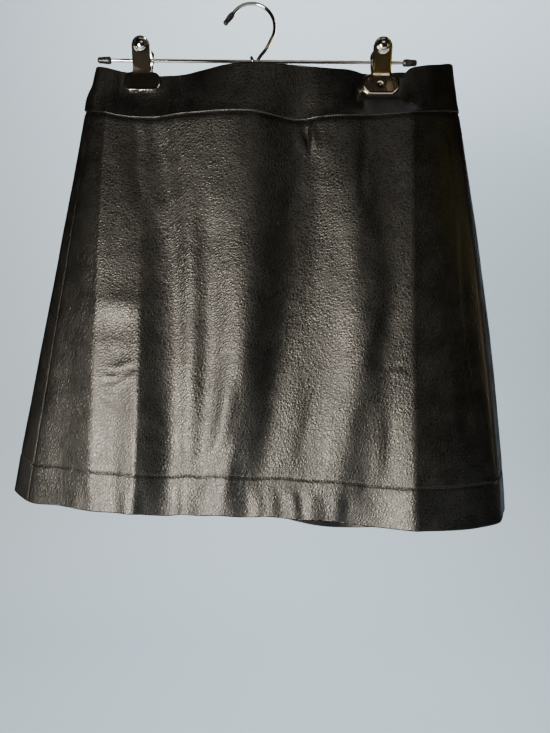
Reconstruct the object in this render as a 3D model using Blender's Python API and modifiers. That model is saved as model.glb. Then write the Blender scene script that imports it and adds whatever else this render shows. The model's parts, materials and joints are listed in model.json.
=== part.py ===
"""A leather mini skirt with a contoured waistband, clipped to a wire hanger.

The tables are in millimetres and Blender's objects in metres. +X is the viewer's right, +Y runs
from the front of the skirt to its back, +Z is up. The origin is the crook of the hanger's hook.
"""

import math
from collections import namedtuple

import bmesh
import bpy
import numpy as np
from mathutils import Matrix, Vector

MM = 0.001
HALF_TURN_POINTS = 9
COLLECTION = "leather_mini_skirt"

# Cloth: walls, seams and hem.
LEATHER = 1.2
HEM_WALL = 2 * LEATHER
BAND_WALL = 2 * LEATHER
SEAM_GAP = 0.3
HEM_DEPTH = 40.0
HEM_STEP = 1.0

# Heights of the cloth's edges in the middle of the front.
WAIST_TOP_Z = -64.5
WAIST_SEAM_Z = -109.5
HEM_Z = -491.0
WAIST_CENTRE_X = 21.0
HEM_START = 1 - HEM_DEPTH / (WAIST_SEAM_Z - HEM_Z)

# Fineness of the cloth's mesh.
FRONT_COLUMN = 12.5
BACK_COLUMN = 17.0
PANEL_ROWS = 15
HEM_ROWS = 3
BAND_ROWS = 5
SEAM_ROW = BAND_ROWS - 1
EDGE_STEPS = 8
SHARP_ANGLE_DEG = 50

# Each line runs down the panel from the waist seam to the hem. Its place across is given at the
# seam, half way and at the hem, its depth at the seam, a third, two thirds and at the hem, and its
# height at its two ends. crease is 0 for a soft roll and 1 for a pressed edge.
Fold = namedtuple(
    "Fold",
    "name seam_x middle_x hem_x seam_y upper_y lower_y hem_y seam_z hem_z crease",
)

FRONT_FOLDS = (
    Fold("side seam left", -155, -191, -226, -1, 6, 10, 14, -100.5, -484.0, 0.0),
    Fold("left facet", -147, -170, -191, -5, -2, 1, 3, -102.5, -484.7, 0.0),
    Fold("left crease", -138, -149, -157, -9, -8.5, -8, -8, -104.7, -486.7, 0.8),
    Fold("pressed strip", -124, -128, -135, -8.5, -8.8, -10.2, -9.5, -107.1, -487.6, 0.0),
    Fold("strip crease", -109, -106, -113, -8, -8.8, -14.5, -13.5, -108.4, -488.0, 0.8),
    Fold("left trough", -89, -74, -76, -9.5, -5, -6, -5, -108.6, -491.4, 0.0),
    Fold("narrow ridge", -68, -56, -64, -16, -10.5, -9.5, -8.0, -108.1, -489.3, 0.0),
    Fold("narrow trough", -57, -44, -50, -18, -12, -10, -8.5, -107.8, -490.3, 0.0),
    Fold("centre ridge", 0, -4, -28, -24, -19.5, -18, -11.5, -107.9, -489.1, 0.0),
    Fold("diagonal trough", 52, 34, -9, -16, -11.5, -10, -10.5, -112.5, -490.7, 0.0),
    Fold("low slope", 60, 54, 20, -18.5, -12.5, -12, -12.0, -111.5, -489.5, 0.0),
    Fold("high slope", 68, 75, 44, -19.5, -17, -15, -14.5, -110.8, -491.3, 0.0),
    Fold("broad ridge", 84, 106, 74, -21.5, -24, -23, -17.5, -110.3, -491.5, 0.0),
    Fold("right trough", 108, 127, 110, -21, -22.5, -23.5, -20, -109.5, -494.9, 0.0),
    Fold("right crease", 149, 152.2, 157, -24, -26, -29, -35, -107.5, -495.0, 0.9),
    Fold("right facet", 175, 192, 214, -17, -20.5, -24, -29, -104.2, -493.2, 0.0),
    Fold("right edge", 192, 219, 239, -7, -11, -16, -21, -100.3, -490.5, 0.4),
    Fold("side seam right", 198, 229, 251, 0, 1, 0, -1, -98.4, -487.5, 0.0),
)

BACK_FOLDS = (
    Fold("back edge right", 199, 235.5, 259, 6, 12, 15, 18, -98.2, -486.6, 0.2),
    Fold("right back facet", 180, 214, 232, 11, 17, 22, 26, -103.5, -489.3, 0.0),
    Fold("right back ridge", 150, 178, 190, 13, 22, 27, 31, -108.0, -491.5, 0.0),
    Fold("right back trough", 118, 142, 148, 12, 15, 19, 21, -109.2, -492.5, 0.0),
    Fold("inner right ridge", 82, 98, 104, 14, 22, 28, 32, -109.5, -492.5, 0.0),
    Fold("inner right trough", 47, 48, 46, 17, 19, 22, 24, -109.5, -491.5, 0.0),
    Fold("centre back seam", 21, 17, 12, 18, 22, 26, 28, -109.5, -491.0, 0.0),
    Fold("inner left trough", -5, -14, -22, 17, 19, 22, 24, -109.5, -491.0, 0.0),
    Fold("inner left ridge", -48, -65, -76, 15, 22, 27, 31, -109.5, -491.0, 0.0),
    Fold("left back trough", -84, -105, -120, 12, 15, 18, 20, -109.1, -489.5, 0.0),
    Fold("left back ridge", -115, -145, -168, 12, 20, 25, 29, -107.4, -485.5, 0.0),
    Fold("left back facet", -142, -185, -216, 11, 18, 24, 29, -103.5, -479.5, 0.0),
    Fold("back edge left", -162, -203.5, -244, 5, 14, 19, 24, -98.5, -474.7, 0.1),
)
CENTRE_BACK = next(i for i, fold in enumerate(BACK_FOLDS) if fold.name == "centre back seam")

# The waist's top edge: the clips pinch front and back together, and between and beyond them the
# stiff band bows out. Each rise is measured from the middle of the front.
Edge = namedtuple("Edge", "x front_y front_rise back_y back_rise")
CLIP_PINCH = 3.0
WAIST_EDGE = (
    Edge(-149, 0, 5.6, 0, 5.6),
    Edge(-147, -4, 5.2, 4, 5.2),
    Edge(-139, -6, 3.9, 6, 3.9),
    Edge(-129, -5, 2.1, 5, 2.1),
    Edge(-123, -CLIP_PINCH, 1.5, CLIP_PINCH, 1.5),
    Edge(-86, -CLIP_PINCH, -2.4, CLIP_PINCH, -2.0),
    Edge(-66, -4.5, -1.6, 5, -1.0),
    Edge(-45, -11, 0.0, 9, 0.0),
    Edge(-25, -20, 0.7, 13, 0.3),
    Edge(2, -25, 0.7, 16, 0.3),
    Edge(40, -21, 0.5, 16, 0.3),
    Edge(74, -15, 0.6, 11, 0.5),
    Edge(94, -9, 1.8, 6, 1.8),
    Edge(104, -CLIP_PINCH, 1.9, CLIP_PINCH, 2.6),
    Edge(141, -CLIP_PINCH, -2.3, CLIP_PINCH, 5.0),
    Edge(148, -11, 3.0, 5, 6.0),
    Edge(158, -14, 4.0, 7, 6.5),
    Edge(174, -12.5, 6.0, 8, 7.5),
    Edge(187, -7, 9.3, 6, 9.5),
    Edge(191, 0, 10.0, 0, 10.0),
)
LEFT_FLARE = 1.15
LEFT_FLARE_X = (-115.0, -145.0)
CLIP_GRIP_DEPTH = 20.0
CLIP_GRIP_MARGIN = (0.5, 12.0)

# Hanger.
WIRE_RADIUS = 1.7
BAR_CENTRE = Vector((4.5, 0.0, -52.2))
BAR_LENGTH = 305.0
TIP_LENGTH = 13.5
TIP_RADIUS = 3.3
TIP_END_WALL = 3.0
FIT_GAP = 0.35
CROOK_RADIUS = 21.7
CROOK_CENTRE = Vector((-1.0, 0.0, WIRE_RADIUS - CROOK_RADIUS))
CROOK_START_DEG = 146.0
CROOK_END_DEG = -31.0
HOOK_TIP_LENGTH = 13.0
HOOK_TIP_RADIUS = 2.8
EYE_START_DEG = 25.0
EYE_END_DEG = -225.0
EYE_START_X = 4.4
EYE_END_X = -1.0
EYE_POINTS = 13
CROOK_POINTS = 19
SHANK_STEP = 4.0
HOOK_STEP = 2.6

# Clips.
CLIP_X = {"left": -104.5, "right": 122.5}
PLATE_WALL = 1.0
HANDLE_HALF_WIDTH = 8.3
HANDLE_TOP = 17.6
JAW_TOP = -12.2
JAW_RADIUS = 8.75
JAW_HALF_WIDTH = 17.3
JAW_REACH = JAW_HALF_WIDTH + 1.0
LIP = 1.2
JAW_DEPTH = CLIP_PINCH + 0.45 + PLATE_WALL / 2
HANDLE_TOP_DEPTH = 12.5
PIVOT_DEPTH = 7.4
EAR_RADIUS = 4.2
EAR_HOLE_POINTS = 12
EAR_WALL = 1.0
EAR_OFFSET = {"front": 7.6, "back": 6.2}
SPRING_RADIUS = 4.5
SPRING_WALL = 1.4
SPRING_LENGTH = 10.4
RIVET_RADIUS = 4.8
RIVET_HEIGHT = 3.4
RIVET_DROP = 7.0

# Concealed zip in the centre-back seam.
ZIP_TAPE_WALL = 1.0
ZIP_TAPE_TOP = 5.0
ZIP_ROWS = 7
SLIDER_DROP = 12.0
SLIDER_SIZE = Vector((5.6, 1.8, 9.0))
SLIDER_STAND_OFF = 0.6
BRIDGE_WIDTH = 1.2
BRIDGE_HALF_SPAN = 2.6
BRIDGE_BAR = 0.9
BRIDGE_HEIGHT = 3.1
BRIDGE_CHAMFER = 0.7
PIVOT_HEIGHT = 1.35
PULL_WALL = 1.0
PULL_LENGTH = 21.0
PULL_HALF_WIDTH = 2.4
EYE_HALF_WIDTH = 1.2
EYE_LENGTH = 3.2

Finish = namedtuple("Finish", "name colour roughness metallic")
LEATHER_BLACK = Finish("black_leather", (0.018, 0.016, 0.015, 1.0), 0.38, 0.0)
CHROME = Finish("chrome", (0.78, 0.77, 0.74, 1.0), 0.12, 1.0)
VINYL = Finish("black_vinyl", (0.012, 0.012, 0.013, 1.0), 0.32, 0.0)
ZIP_TAPE_CLOTH = Finish("zip_tape_cloth", (0.015, 0.015, 0.016, 1.0), 0.85, 0.0)
ZIP_METAL = Finish("zip_metal", (0.08, 0.08, 0.085, 1.0), 0.3, 1.0)


def clear_scene():
    for obj in list(bpy.data.objects):
        bpy.data.objects.remove(obj, do_unlink=True)


def new_collection(name):
    collection = bpy.data.collections.new(name)
    bpy.context.scene.collection.children.link(collection)
    return collection


def material_for(finish):
    material = bpy.data.materials.get(finish.name)
    if material is None:
        material = bpy.data.materials.new(finish.name)
        material.use_nodes = True
        shader = material.node_tree.nodes["Principled BSDF"]
        shader.inputs["Base Color"].default_value = finish.colour
        shader.inputs["Roughness"].default_value = finish.roughness
        shader.inputs["Metallic"].default_value = finish.metallic
        material.diffuse_color = finish.colour
    return material


def add_object(name, data, collection, finish, parent=None):
    obj = bpy.data.objects.new(name, data)
    collection.objects.link(obj)
    if finish is not None:
        data.materials.append(material_for(finish))
    obj.parent = parent
    return obj


def add_empty(name, location, collection, parent=None):
    empty = bpy.data.objects.new(name, None)
    empty.empty_display_size = 10 * MM
    empty.location = location * MM
    empty.parent = parent
    collection.objects.link(empty)
    return empty


# --- the draped tube -------------------------------------------------------------------------


def fold_point(fold, v):
    """The place of a fold line at v, from 0 at the waist seam to 1 at the hem."""
    across = np.polyfit((0, 0.5, 1), (fold.seam_x, fold.middle_x, fold.hem_x), 2)
    depths = (fold.seam_y, fold.upper_y, fold.lower_y, fold.hem_y)
    depth = np.polyfit((0, 1 / 3, 2 / 3, 1), depths, 3)
    height = fold.seam_z + (fold.hem_z - fold.seam_z) * v
    return np.array((np.polyval(across, v), np.polyval(depth, v), height))


def ring_tangents(points, creases):
    """Unit-chord tangents that arrive at and leave each point of a closed ring."""
    before = points - np.roll(points, 1, axis=0)
    after = np.roll(points, -1, axis=0) - points
    before_length = np.linalg.norm(before, axis=1, keepdims=True)
    after_length = np.linalg.norm(after, axis=1, keepdims=True)
    before = before / before_length
    after = after / after_length
    smooth = (before * after_length + after * before_length) / (before_length + after_length)
    sharp = np.array(creases)[:, None]
    arriving = smooth * (1 - sharp) + before * sharp
    leaving = smooth * (1 - sharp) + after * sharp
    return arriving, leaving


def ring_curve(points, creases, stations):
    """Points of the closed curve through `points` at stations (index of the segment, share)."""
    arriving, leaving = ring_tangents(points, creases)
    count = len(points)
    curve = []
    for segment, t in stations:
        start = points[segment]
        end = points[(segment + 1) % count]
        chord = np.linalg.norm(end - start)
        curve.append(
            (2 * t**3 - 3 * t**2 + 1) * start
            + (t**3 - 2 * t**2 + t) * chord * leaving[segment]
            + (3 * t**2 - 2 * t**3) * end
            + (t**3 - t**2) * chord * arriving[(segment + 1) % count]
        )
    return np.array(curve)


def ring_stations():
    """Columns round the tube, and the columns of the left, right and centre-back seams."""
    folds = FRONT_FOLDS + BACK_FOLDS
    middle = np.array([fold_point(fold, 0.6) for fold in folds])
    stations = []
    seams = {}
    for segment in range(len(folds)):
        if segment == 0:
            seams["left"] = len(stations)
        if segment == len(FRONT_FOLDS) - 1:
            seams["right"] = len(stations)
        if segment == len(FRONT_FOLDS) + CENTRE_BACK:
            seams["back"] = len(stations)
        spacing = FRONT_COLUMN if segment < len(FRONT_FOLDS) - 1 else BACK_COLUMN
        length = np.linalg.norm(middle[(segment + 1) % len(folds)] - middle[segment])
        steps = max(1, round(length / spacing))
        stations += [(segment, step / steps) for step in range(steps)]
    return stations, seams


def panel_ring(v, stations):
    folds = FRONT_FOLDS + BACK_FOLDS
    points = np.array([fold_point(fold, v) for fold in folds])
    return ring_curve(points, [fold.crease for fold in folds], stations)


def arc_shares(curve):
    """Each point's share of the length along an open curve."""
    lengths = np.linalg.norm(np.diff(curve, axis=0), axis=1)
    shares = np.concatenate(((0.0,), np.cumsum(lengths)))
    return shares / shares[-1]


def resample(curve, shares):
    along = arc_shares(curve)
    shares = settle_on_clips(shares, curve)
    return np.stack([np.interp(shares, along, curve[:, axis]) for axis in range(3)], axis=1)


def waist_edge_curve(side):
    """The top edge of one side of the waistband, from the left end to the right end."""
    front = [(edge.x, edge.front_y, WAIST_TOP_Z + edge.front_rise) for edge in WAIST_EDGE]
    back = [(edge.x, edge.back_y, WAIST_TOP_Z + edge.back_rise) for edge in WAIST_EDGE[-2:0:-1]]
    ring = np.array(front + back)
    pinched = [round(grip(point[0])) for point in ring]
    last = len(WAIST_EDGE) - 1
    first, count = (0, last) if side == "front" else (last, len(ring) - last)
    steps = np.arange(EDGE_STEPS) / EDGE_STEPS
    stations = [(first + i, t) for i in range(count) for t in steps]
    curve = ring_curve(ring, pinched, stations)
    return np.vstack((curve, ring[(first + count) % len(ring)]))


def settle_on_clips(shares, curve):
    """Slides the columns along the waist's edge until one stands at each side of each jaw."""
    along = arc_shares(curve)
    order = np.argsort(curve[:, 0])
    knots = {0.0: 0.0, 1.0: 1.0}
    for centre in CLIP_X.values():
        for x in (centre - JAW_REACH, centre + JAW_REACH):
            if curve[:, 0].min() < x < curve[:, 0].max():
                target = np.interp(x, curve[order, 0], along[order])
                knots[shares[np.argmin(np.abs(shares - target))]] = target
    return np.interp(shares, sorted(knots), [knots[share] for share in sorted(knots)])


def waist_top_ring(seam_ring, seams):
    """The waist's top edge at the tube's columns, each at its share of the band's length."""
    front = seam_ring[seams["left"] : seams["right"] + 1]
    front_top = resample(waist_edge_curve("front"), arc_shares(front))
    back_curve = waist_edge_curve("back")
    middle = int(np.argmin(np.abs(back_curve[:, 0] - WAIST_CENTRE_X)))
    right = seam_ring[seams["right"] : seams["back"] + 1]
    left = np.vstack((seam_ring[seams["back"] :], seam_ring[:1]))
    right_top = resample(back_curve[: middle + 1], arc_shares(right))
    left_top = resample(back_curve[middle:], arc_shares(left))
    return np.vstack((front_top[:-1], right_top[:-1], left_top[:-1]))


def smooth_step(value, low, high):
    t = np.clip((value - low) / (high - low), 0.0, 1.0)
    return t * t * (3 - 2 * t)


def grip(x):
    """1 where a clip's jaws hold the band and 0 a finger's width away from them."""
    gaps = [abs(x - centre) - JAW_HALF_WIDTH for centre in CLIP_X.values()]
    return 1 - smooth_step(min(gaps), *CLIP_GRIP_MARGIN)


def band_ring(w, top, seam):
    """A ring of the waistband at w, from 0 at its top edge to 1 at the seam."""
    ring = top + (seam - top) * w
    band_height = WAIST_TOP_Z - WAIST_SEAM_Z
    below_grip = smooth_step(w, CLIP_GRIP_DEPTH / band_height, 1.0)
    for point, start, end in zip(ring, top, seam):
        held = grip(start[0])
        share = w + (below_grip - w) * held
        point[1] = start[1] + (end[1] - start[1]) * share
        flare = LEFT_FLARE * smooth_step(start[0], *LEFT_FLARE_X)
        point[0] += (end[0] - start[0]) * flare * w * (1 - w)
    return ring


def tube_grid():
    """Rings from the waist's edge to the hem, their normals, each row's wall and the seams."""
    stations, seams = ring_stations()
    seam_ring = panel_ring(0.0, stations)
    top_ring = waist_top_ring(seam_ring, seams)
    hem_step = HEM_STEP / (WAIST_SEAM_Z - HEM_Z)
    panel_shares = np.linspace(0, HEM_START - hem_step, PANEL_ROWS)
    hem_shares = np.linspace(HEM_START, 1, HEM_ROWS)
    rows = [band_ring(w, top_ring, seam_ring) for w in np.linspace(0, 1, BAND_ROWS)]
    rows += [panel_ring(v, stations) for v in (*panel_shares[1:], *hem_shares)]
    grid = np.array(rows)
    around = np.roll(grid, -1, axis=1) - np.roll(grid, 1, axis=1)
    normals = np.cross(np.gradient(grid, axis=0), around)
    normals /= np.linalg.norm(normals, axis=2, keepdims=True)
    panel_walls = [LEATHER] * PANEL_ROWS + [HEM_WALL] * HEM_ROWS
    return grid, normals, panel_walls, seams


def cut_piece(grid, normals, rows, columns):
    """The grid's rows and columns between two seams, half a seam's gap inside each edge."""
    row_list = list(range(rows[0], rows[1] + 1))
    count = grid.shape[1]
    column_list = [column % count for column in range(columns[0], columns[1] + 1)]
    piece = grid[np.ix_(row_list, column_list)].copy()
    piece_normals = normals[np.ix_(row_list, column_list)]
    half = SEAM_GAP / 2
    for edge, inner in ((0, 1), (-1, -2)):
        inward = piece[:, inner] - piece[:, edge]
        piece[:, edge] += half * inward / np.linalg.norm(inward, axis=1, keepdims=True)
        if row_list[edge] in (0, grid.shape[0] - 1):
            continue
        inward = piece[inner] - piece[edge]
        piece[edge] += half * inward / np.linalg.norm(inward, axis=1, keepdims=True)
    return piece, piece_normals


def wall_object(name, outer, normals, walls, collection, finish):
    """A closed wall: `outer` and its copy moved in by each row's thickness, joined at the rims."""
    inner = outer - normals * np.array(walls)[:, None, None]
    rows, columns = outer.shape[:2]
    mesh = bmesh.new()
    sides = []
    for layer in (outer, inner):
        sides.append([[mesh.verts.new(point * MM) for point in row] for row in layer])
    for r in range(rows - 1):
        for c in range(columns - 1):
            corners = ((r, c), (r + 1, c), (r + 1, c + 1), (r, c + 1))
            mesh.faces.new([sides[0][i][j] for i, j in corners])
            mesh.faces.new([sides[1][i][j] for i, j in reversed(corners)])
    rim = [(0, c) for c in range(columns)]
    rim += [(r, columns - 1) for r in range(1, rows)]
    rim += [(rows - 1, c) for c in range(columns - 2, -1, -1)]
    rim += [(r, 0) for r in range(rows - 2, 0, -1)]
    for here, there in zip(rim, rim[1:] + rim[:1]):
        corners = [sides[0][here[0]][here[1]], sides[0][there[0]][there[1]]]
        corners += [sides[1][there[0]][there[1]], sides[1][here[0]][here[1]]]
        mesh.faces.new(corners)
    data = bpy.data.meshes.new(name)
    mesh.to_mesh(data)
    mesh.free()
    data.shade_smooth()
    data.set_sharp_from_angle(angle=math.radians(SHARP_ANGLE_DEG))
    return add_object(name, data, collection, finish)


def build_cloth(collection):
    """Panels and waistbands, cut from one tube so that their edges meet at the seams.

    Returns the line of the centre-back seam, from the waist's edge downwards.
    """
    grid, normals, panel_walls, seams = tube_grid()
    last_row = grid.shape[0] - 1
    band_walls = [BAND_WALL] * BAND_ROWS
    cuts = (
        ("front_panel", "waistband_front", seams["left"], seams["right"]),
        ("back_panel_right", "waistband_back_right", seams["right"], seams["back"]),
        ("back_panel_left", "waistband_back_left", seams["back"], grid.shape[1]),
    )
    for panel, band, first, last in cuts:
        piece, piece_normals = cut_piece(grid, normals, (SEAM_ROW, last_row), (first, last))
        wall_object(panel, piece, piece_normals, panel_walls, collection, LEATHER_BLACK)
        piece, piece_normals = cut_piece(grid, normals, (0, SEAM_ROW), (first, last))
        wall_object(band, piece, piece_normals, band_walls, collection, LEATHER_BLACK)
    build_zip_tape(grid, normals, seams["back"], collection)
    return grid[:, seams["back"]]


def build_zip_tape(grid, normals, back, collection):
    """The zip's tape, a strip behind the centre-back seam from the waist edge downwards."""
    rows = slice(0, SEAM_ROW + ZIP_ROWS)
    columns = slice(back - 1, back + 2)
    band_rows = SEAM_ROW + 2
    clearances = [BAND_WALL + SEAM_GAP] * band_rows
    clearances += [LEATHER + SEAM_GAP] * (SEAM_ROW + ZIP_ROWS - band_rows)
    tape = grid[rows, columns] - normals[rows, columns] * np.array(clearances)[:, None, None]
    drop = tape[1] - tape[0]
    tape[0] += ZIP_TAPE_TOP * drop / np.linalg.norm(drop, axis=1, keepdims=True)
    walls = [ZIP_TAPE_WALL] * len(clearances)
    wall_object("zip_tape", tape, normals[rows, columns], walls, collection, ZIP_TAPE_CLOTH)


# --- turned, bent and cut metal ----------------------------------------------------------------


def turned_object(name, profile, collection, finish, parent, closed=False, steps=16):
    """A solid of revolution about its local Z, from (radius, height) points."""
    data = bpy.data.meshes.new(name)
    edges = [(i, i + 1) for i in range(len(profile) - 1)]
    if closed:
        edges.append((len(profile) - 1, 0))
    data.from_pydata([(r * MM, 0.0, z * MM) for r, z in profile], edges, [])
    obj = add_object(name, data, collection, finish, parent)
    screw = obj.modifiers.new("Turn", "SCREW")
    screw.steps = steps
    screw.render_steps = steps
    screw.use_merge_vertices = True
    screw.merge_threshold = 0.00001
    screw.use_smooth_shade = True
    return obj


def smooth_path(points, step):
    """Points about `step` apart on a smooth open curve through `points`."""
    points = np.array([tuple(point) for point in points])
    tangents = np.gradient(points, axis=0)
    path = []
    for i in range(len(points) - 1):
        count = max(1, round(np.linalg.norm(points[i + 1] - points[i]) / step))
        for t in np.linspace(0, 1, count, endpoint=False):
            path.append(
                (2 * t**3 - 3 * t**2 + 1) * points[i]
                + (t**3 - 2 * t**2 + t) * tangents[i]
                + (3 * t**2 - 2 * t**3) * points[i + 1]
                + (t**3 - t**2) * tangents[i + 1]
            )
    path.append(points[-1])
    return path


def wire_object(name, path, radius, resolution, collection, finish, parent):
    data = bpy.data.curves.new(name, "CURVE")
    data.dimensions = "3D"
    data.bevel_depth = radius * MM
    data.bevel_resolution = resolution
    data.use_fill_caps = True
    spline = data.splines.new("POLY")
    spline.points.add(len(path) - 1)
    for point, place in zip(spline.points, path):
        point.co = (*(value * MM for value in place), 1.0)
    return add_object(name, data, collection, finish, parent)


def flat_object(name, outlines, wall, collection, finish, parent):
    """A flat plate of thickness `wall` from closed outlines in its local XY; inner ones cut."""
    data = bpy.data.curves.new(name, "CURVE")
    data.dimensions = "2D"
    data.fill_mode = "BOTH"
    data.extrude = wall / 2 * MM
    for outline in outlines:
        spline = data.splines.new("POLY")
        spline.points.add(len(outline) - 1)
        for point, place in zip(spline.points, outline):
            point.co = (place[0] * MM, place[1] * MM, 0.0, 1.0)
        spline.use_cyclic_u = True
    return add_object(name, data, collection, finish, parent)


def curve_to_mesh(obj, collection):
    """Replaces a curve object by its closed mesh, at the same place and under the same name."""
    bpy.context.view_layer.update()
    graph = bpy.context.evaluated_depsgraph_get()
    data = bpy.data.meshes.new_from_object(obj.evaluated_get(graph))
    mesh = bmesh.new()
    mesh.from_mesh(data)
    bmesh.ops.remove_doubles(mesh, verts=mesh.verts, dist=0.000001)
    mesh.to_mesh(data)
    mesh.free()
    name = obj.name
    matrix = obj.matrix_world.copy()
    bpy.data.objects.remove(obj, do_unlink=True)
    data.name = name
    solid = bpy.data.objects.new(name, data)
    collection.objects.link(solid)
    solid.matrix_world = matrix
    return solid


def join(obj, tool):
    """Unites a hidden tool with an object by a Boolean modifier."""
    tool.hide_render = True
    tool.display_type = "WIRE"
    modifier = obj.modifiers.new(tool.name, "BOOLEAN")
    modifier.operation = "UNION"
    modifier.solver = "EXACT"
    modifier.object = tool


def arc(centre, radius, start_deg, end_deg, count):
    """Points of an arc in a plane, both ends included."""
    angles = [
        math.radians(start_deg + (end_deg - start_deg) * i / (count - 1)) for i in range(count)
    ]
    return [(centre[0] + radius * math.cos(a), centre[1] + radius * math.sin(a)) for a in angles]


# --- the hanger --------------------------------------------------------------------------------


def cap_profile(length, radius, end_wall):
    """A vinyl cap, closed at its top, with a slight swell near its mouth and a bore for the wire."""
    bore = WIRE_RADIUS + FIT_GAP
    return (
        (0.0, 0.0),
        (0.55 * radius, -0.1 * radius),
        (0.8 * radius, -0.4 * radius),
        (0.86 * radius, -0.3 * length),
        (radius, -0.65 * length),
        (0.97 * radius, -0.9 * length),
        (0.8 * radius, -length),
        (bore, -length),
        (bore, -end_wall),
        (0.0, -end_wall),
    )


def build_bar(collection, frame):
    half = BAR_LENGTH / 2
    wire_end = half - TIP_END_WALL - FIT_GAP
    path = ((-wire_end, 0.0, 0.0), (wire_end, 0.0, 0.0))
    wire_object("hanger_bar", path, WIRE_RADIUS, 4, collection, CHROME, frame)
    profile = cap_profile(TIP_LENGTH, TIP_RADIUS, TIP_END_WALL)
    for side, sign in (("left", -1), ("right", 1)):
        tip = turned_object(f"bar_tip_{side}", profile, collection, VINYL, frame)
        tip.location = Vector((sign * half, 0.0, 0.0)) * MM
        tip.rotation_euler = (0.0, sign * math.pi / 2, 0.0)


def hook_path():
    """The hook's wire from inside its tip, over the crook and down to the eye round the bar."""
    centre = (CROOK_CENTRE.x, CROOK_CENTRE.z)
    places = arc(centre, CROOK_RADIUS, CROOK_START_DEG, CROOK_END_DEG, CROOK_POINTS)
    crook = [Vector((x, 0.0, z)) for x, z in places]
    backwards = (crook[0] - crook[1]).normalized()
    end = crook[0] + backwards * (HOOK_TIP_LENGTH - TIP_END_WALL - FIT_GAP)
    downwards = (crook[-1] - crook[-2]).normalized()
    shank = [crook[-1] + downwards * SHANK_STEP * step for step in (1, 2)]
    radius = 2 * WIRE_RADIUS + FIT_GAP
    eye = []
    for share in np.linspace(0, 1, EYE_POINTS):
        angle = math.radians(EYE_START_DEG + (EYE_END_DEG - EYE_START_DEG) * share)
        x = EYE_START_X + (EYE_END_X - EYE_START_X) * share
        offset = Vector((0.0, radius * math.cos(angle), radius * math.sin(angle)))
        eye.append(Vector((x, 0.0, BAR_CENTRE.z)) + offset)
    path = [end, (end + crook[0]) / 2, *crook, *shank, *eye]
    return path, crook[0], backwards


def build_hook(collection, frame):
    path, mouth, outwards = hook_path()
    spaced = smooth_path(path, HOOK_STEP)
    wire_object("hanger_hook", spaced, WIRE_RADIUS, 2, collection, CHROME, frame)
    profile = cap_profile(HOOK_TIP_LENGTH, HOOK_TIP_RADIUS, TIP_END_WALL)
    tip = turned_object("hook_tip", profile, collection, VINYL, frame)
    tip.location = (mouth + outwards * HOOK_TIP_LENGTH) * MM
    tip.rotation_euler = outwards.to_track_quat("Z", "Y").to_euler()


def plate_outline():
    """Half widths of a clip plate at its heights, from the round handle to the long jaw."""
    rows = []
    for angle in (10, 28, 46, 66, 90):
        reach = math.radians(angle)
        centre = HANDLE_TOP - HANDLE_HALF_WIDTH
        rows.append((centre + HANDLE_HALF_WIDTH * math.cos(reach), math.sin(reach)))
    rows = [(height, HANDLE_HALF_WIDTH * share) for height, share in rows]
    rows += [(0.0, HANDLE_HALF_WIDTH), (JAW_TOP + 2.5, HANDLE_HALF_WIDTH)]
    jaw_centre = JAW_TOP - JAW_RADIUS
    for angle in (88, 62, 38, 12, -14, -40, -64, -90):
        turn = math.radians(angle)
        half_width = JAW_HALF_WIDTH - JAW_RADIUS + JAW_RADIUS * math.cos(turn)
        rows.append((jaw_centre + JAW_RADIUS * math.sin(turn), half_width))
    return rows


def plate_depth(height):
    """Distance of a clip plate's middle from the hanger's plane."""
    heights = (JAW_TOP - 2 * JAW_RADIUS, JAW_TOP - 2 * JAW_RADIUS + LIP, JAW_TOP, 0.0, HANDLE_TOP)
    depths = (JAW_DEPTH + LIP, JAW_DEPTH, JAW_DEPTH, PIVOT_DEPTH, HANDLE_TOP_DEPTH)
    return float(np.interp(height, heights, depths))


def ear_outline(sign):
    """A clip's ear seen from its side: it reaches from the plate round the bar."""
    back = [(sign * y, z) for y, z in arc((0.0, 0.0), EAR_RADIUS, 90, -90, HALF_TURN_POINTS)]
    root = [(-sign * plate_depth(z), z) for z in (-EAR_RADIUS, EAR_RADIUS)]
    places = arc((0.0, 0.0), WIRE_RADIUS + FIT_GAP, 0, 360, EAR_HOLE_POINTS + 1)
    hole = [(sign * y, z) for y, z in places[:-1]]
    return back + root, hole


def build_clip_plate(side, face, collection, tools, frame):
    """One sheet-metal half of a clip, with its two ears on the bar."""
    sign = -1 if face == "front" else 1
    name = f"clip_{side}_{face}"
    data = bpy.data.meshes.new(name)
    mesh = bmesh.new()
    rows = []
    for height, half_width in plate_outline():
        depth = sign * plate_depth(height)
        places = [(share * half_width, depth, height) for share in (-1, -1 / 3, 1 / 3, 1)]
        rows.append([mesh.verts.new(Vector(place) * MM) for place in places])
    for upper, lower in zip(rows, rows[1:]):
        for i in range(3):
            mesh.faces.new((upper[i], lower[i], lower[i + 1], upper[i + 1]))
    mesh.to_mesh(data)
    mesh.free()
    plate = add_object(name, data, collection, CHROME, frame)
    solidify = plate.modifiers.new("Sheet", "SOLIDIFY")
    solidify.thickness = PLATE_WALL * MM
    solidify.offset = 0.0
    for end in (-1, 1):
        ear_name = f"ear_{side}_{face}_{'left' if end < 0 else 'right'}"
        ear = flat_object(ear_name, ear_outline(-sign), EAR_WALL, tools, None, frame)
        ear.location = Vector((end * EAR_OFFSET[face], 0.0, 0.0)) * MM
        ear.rotation_euler = Matrix(((0, 0, 1), (1, 0, 0), (0, 1, 0))).to_euler()
        join(plate, curve_to_mesh(ear, tools))
    return plate


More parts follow.
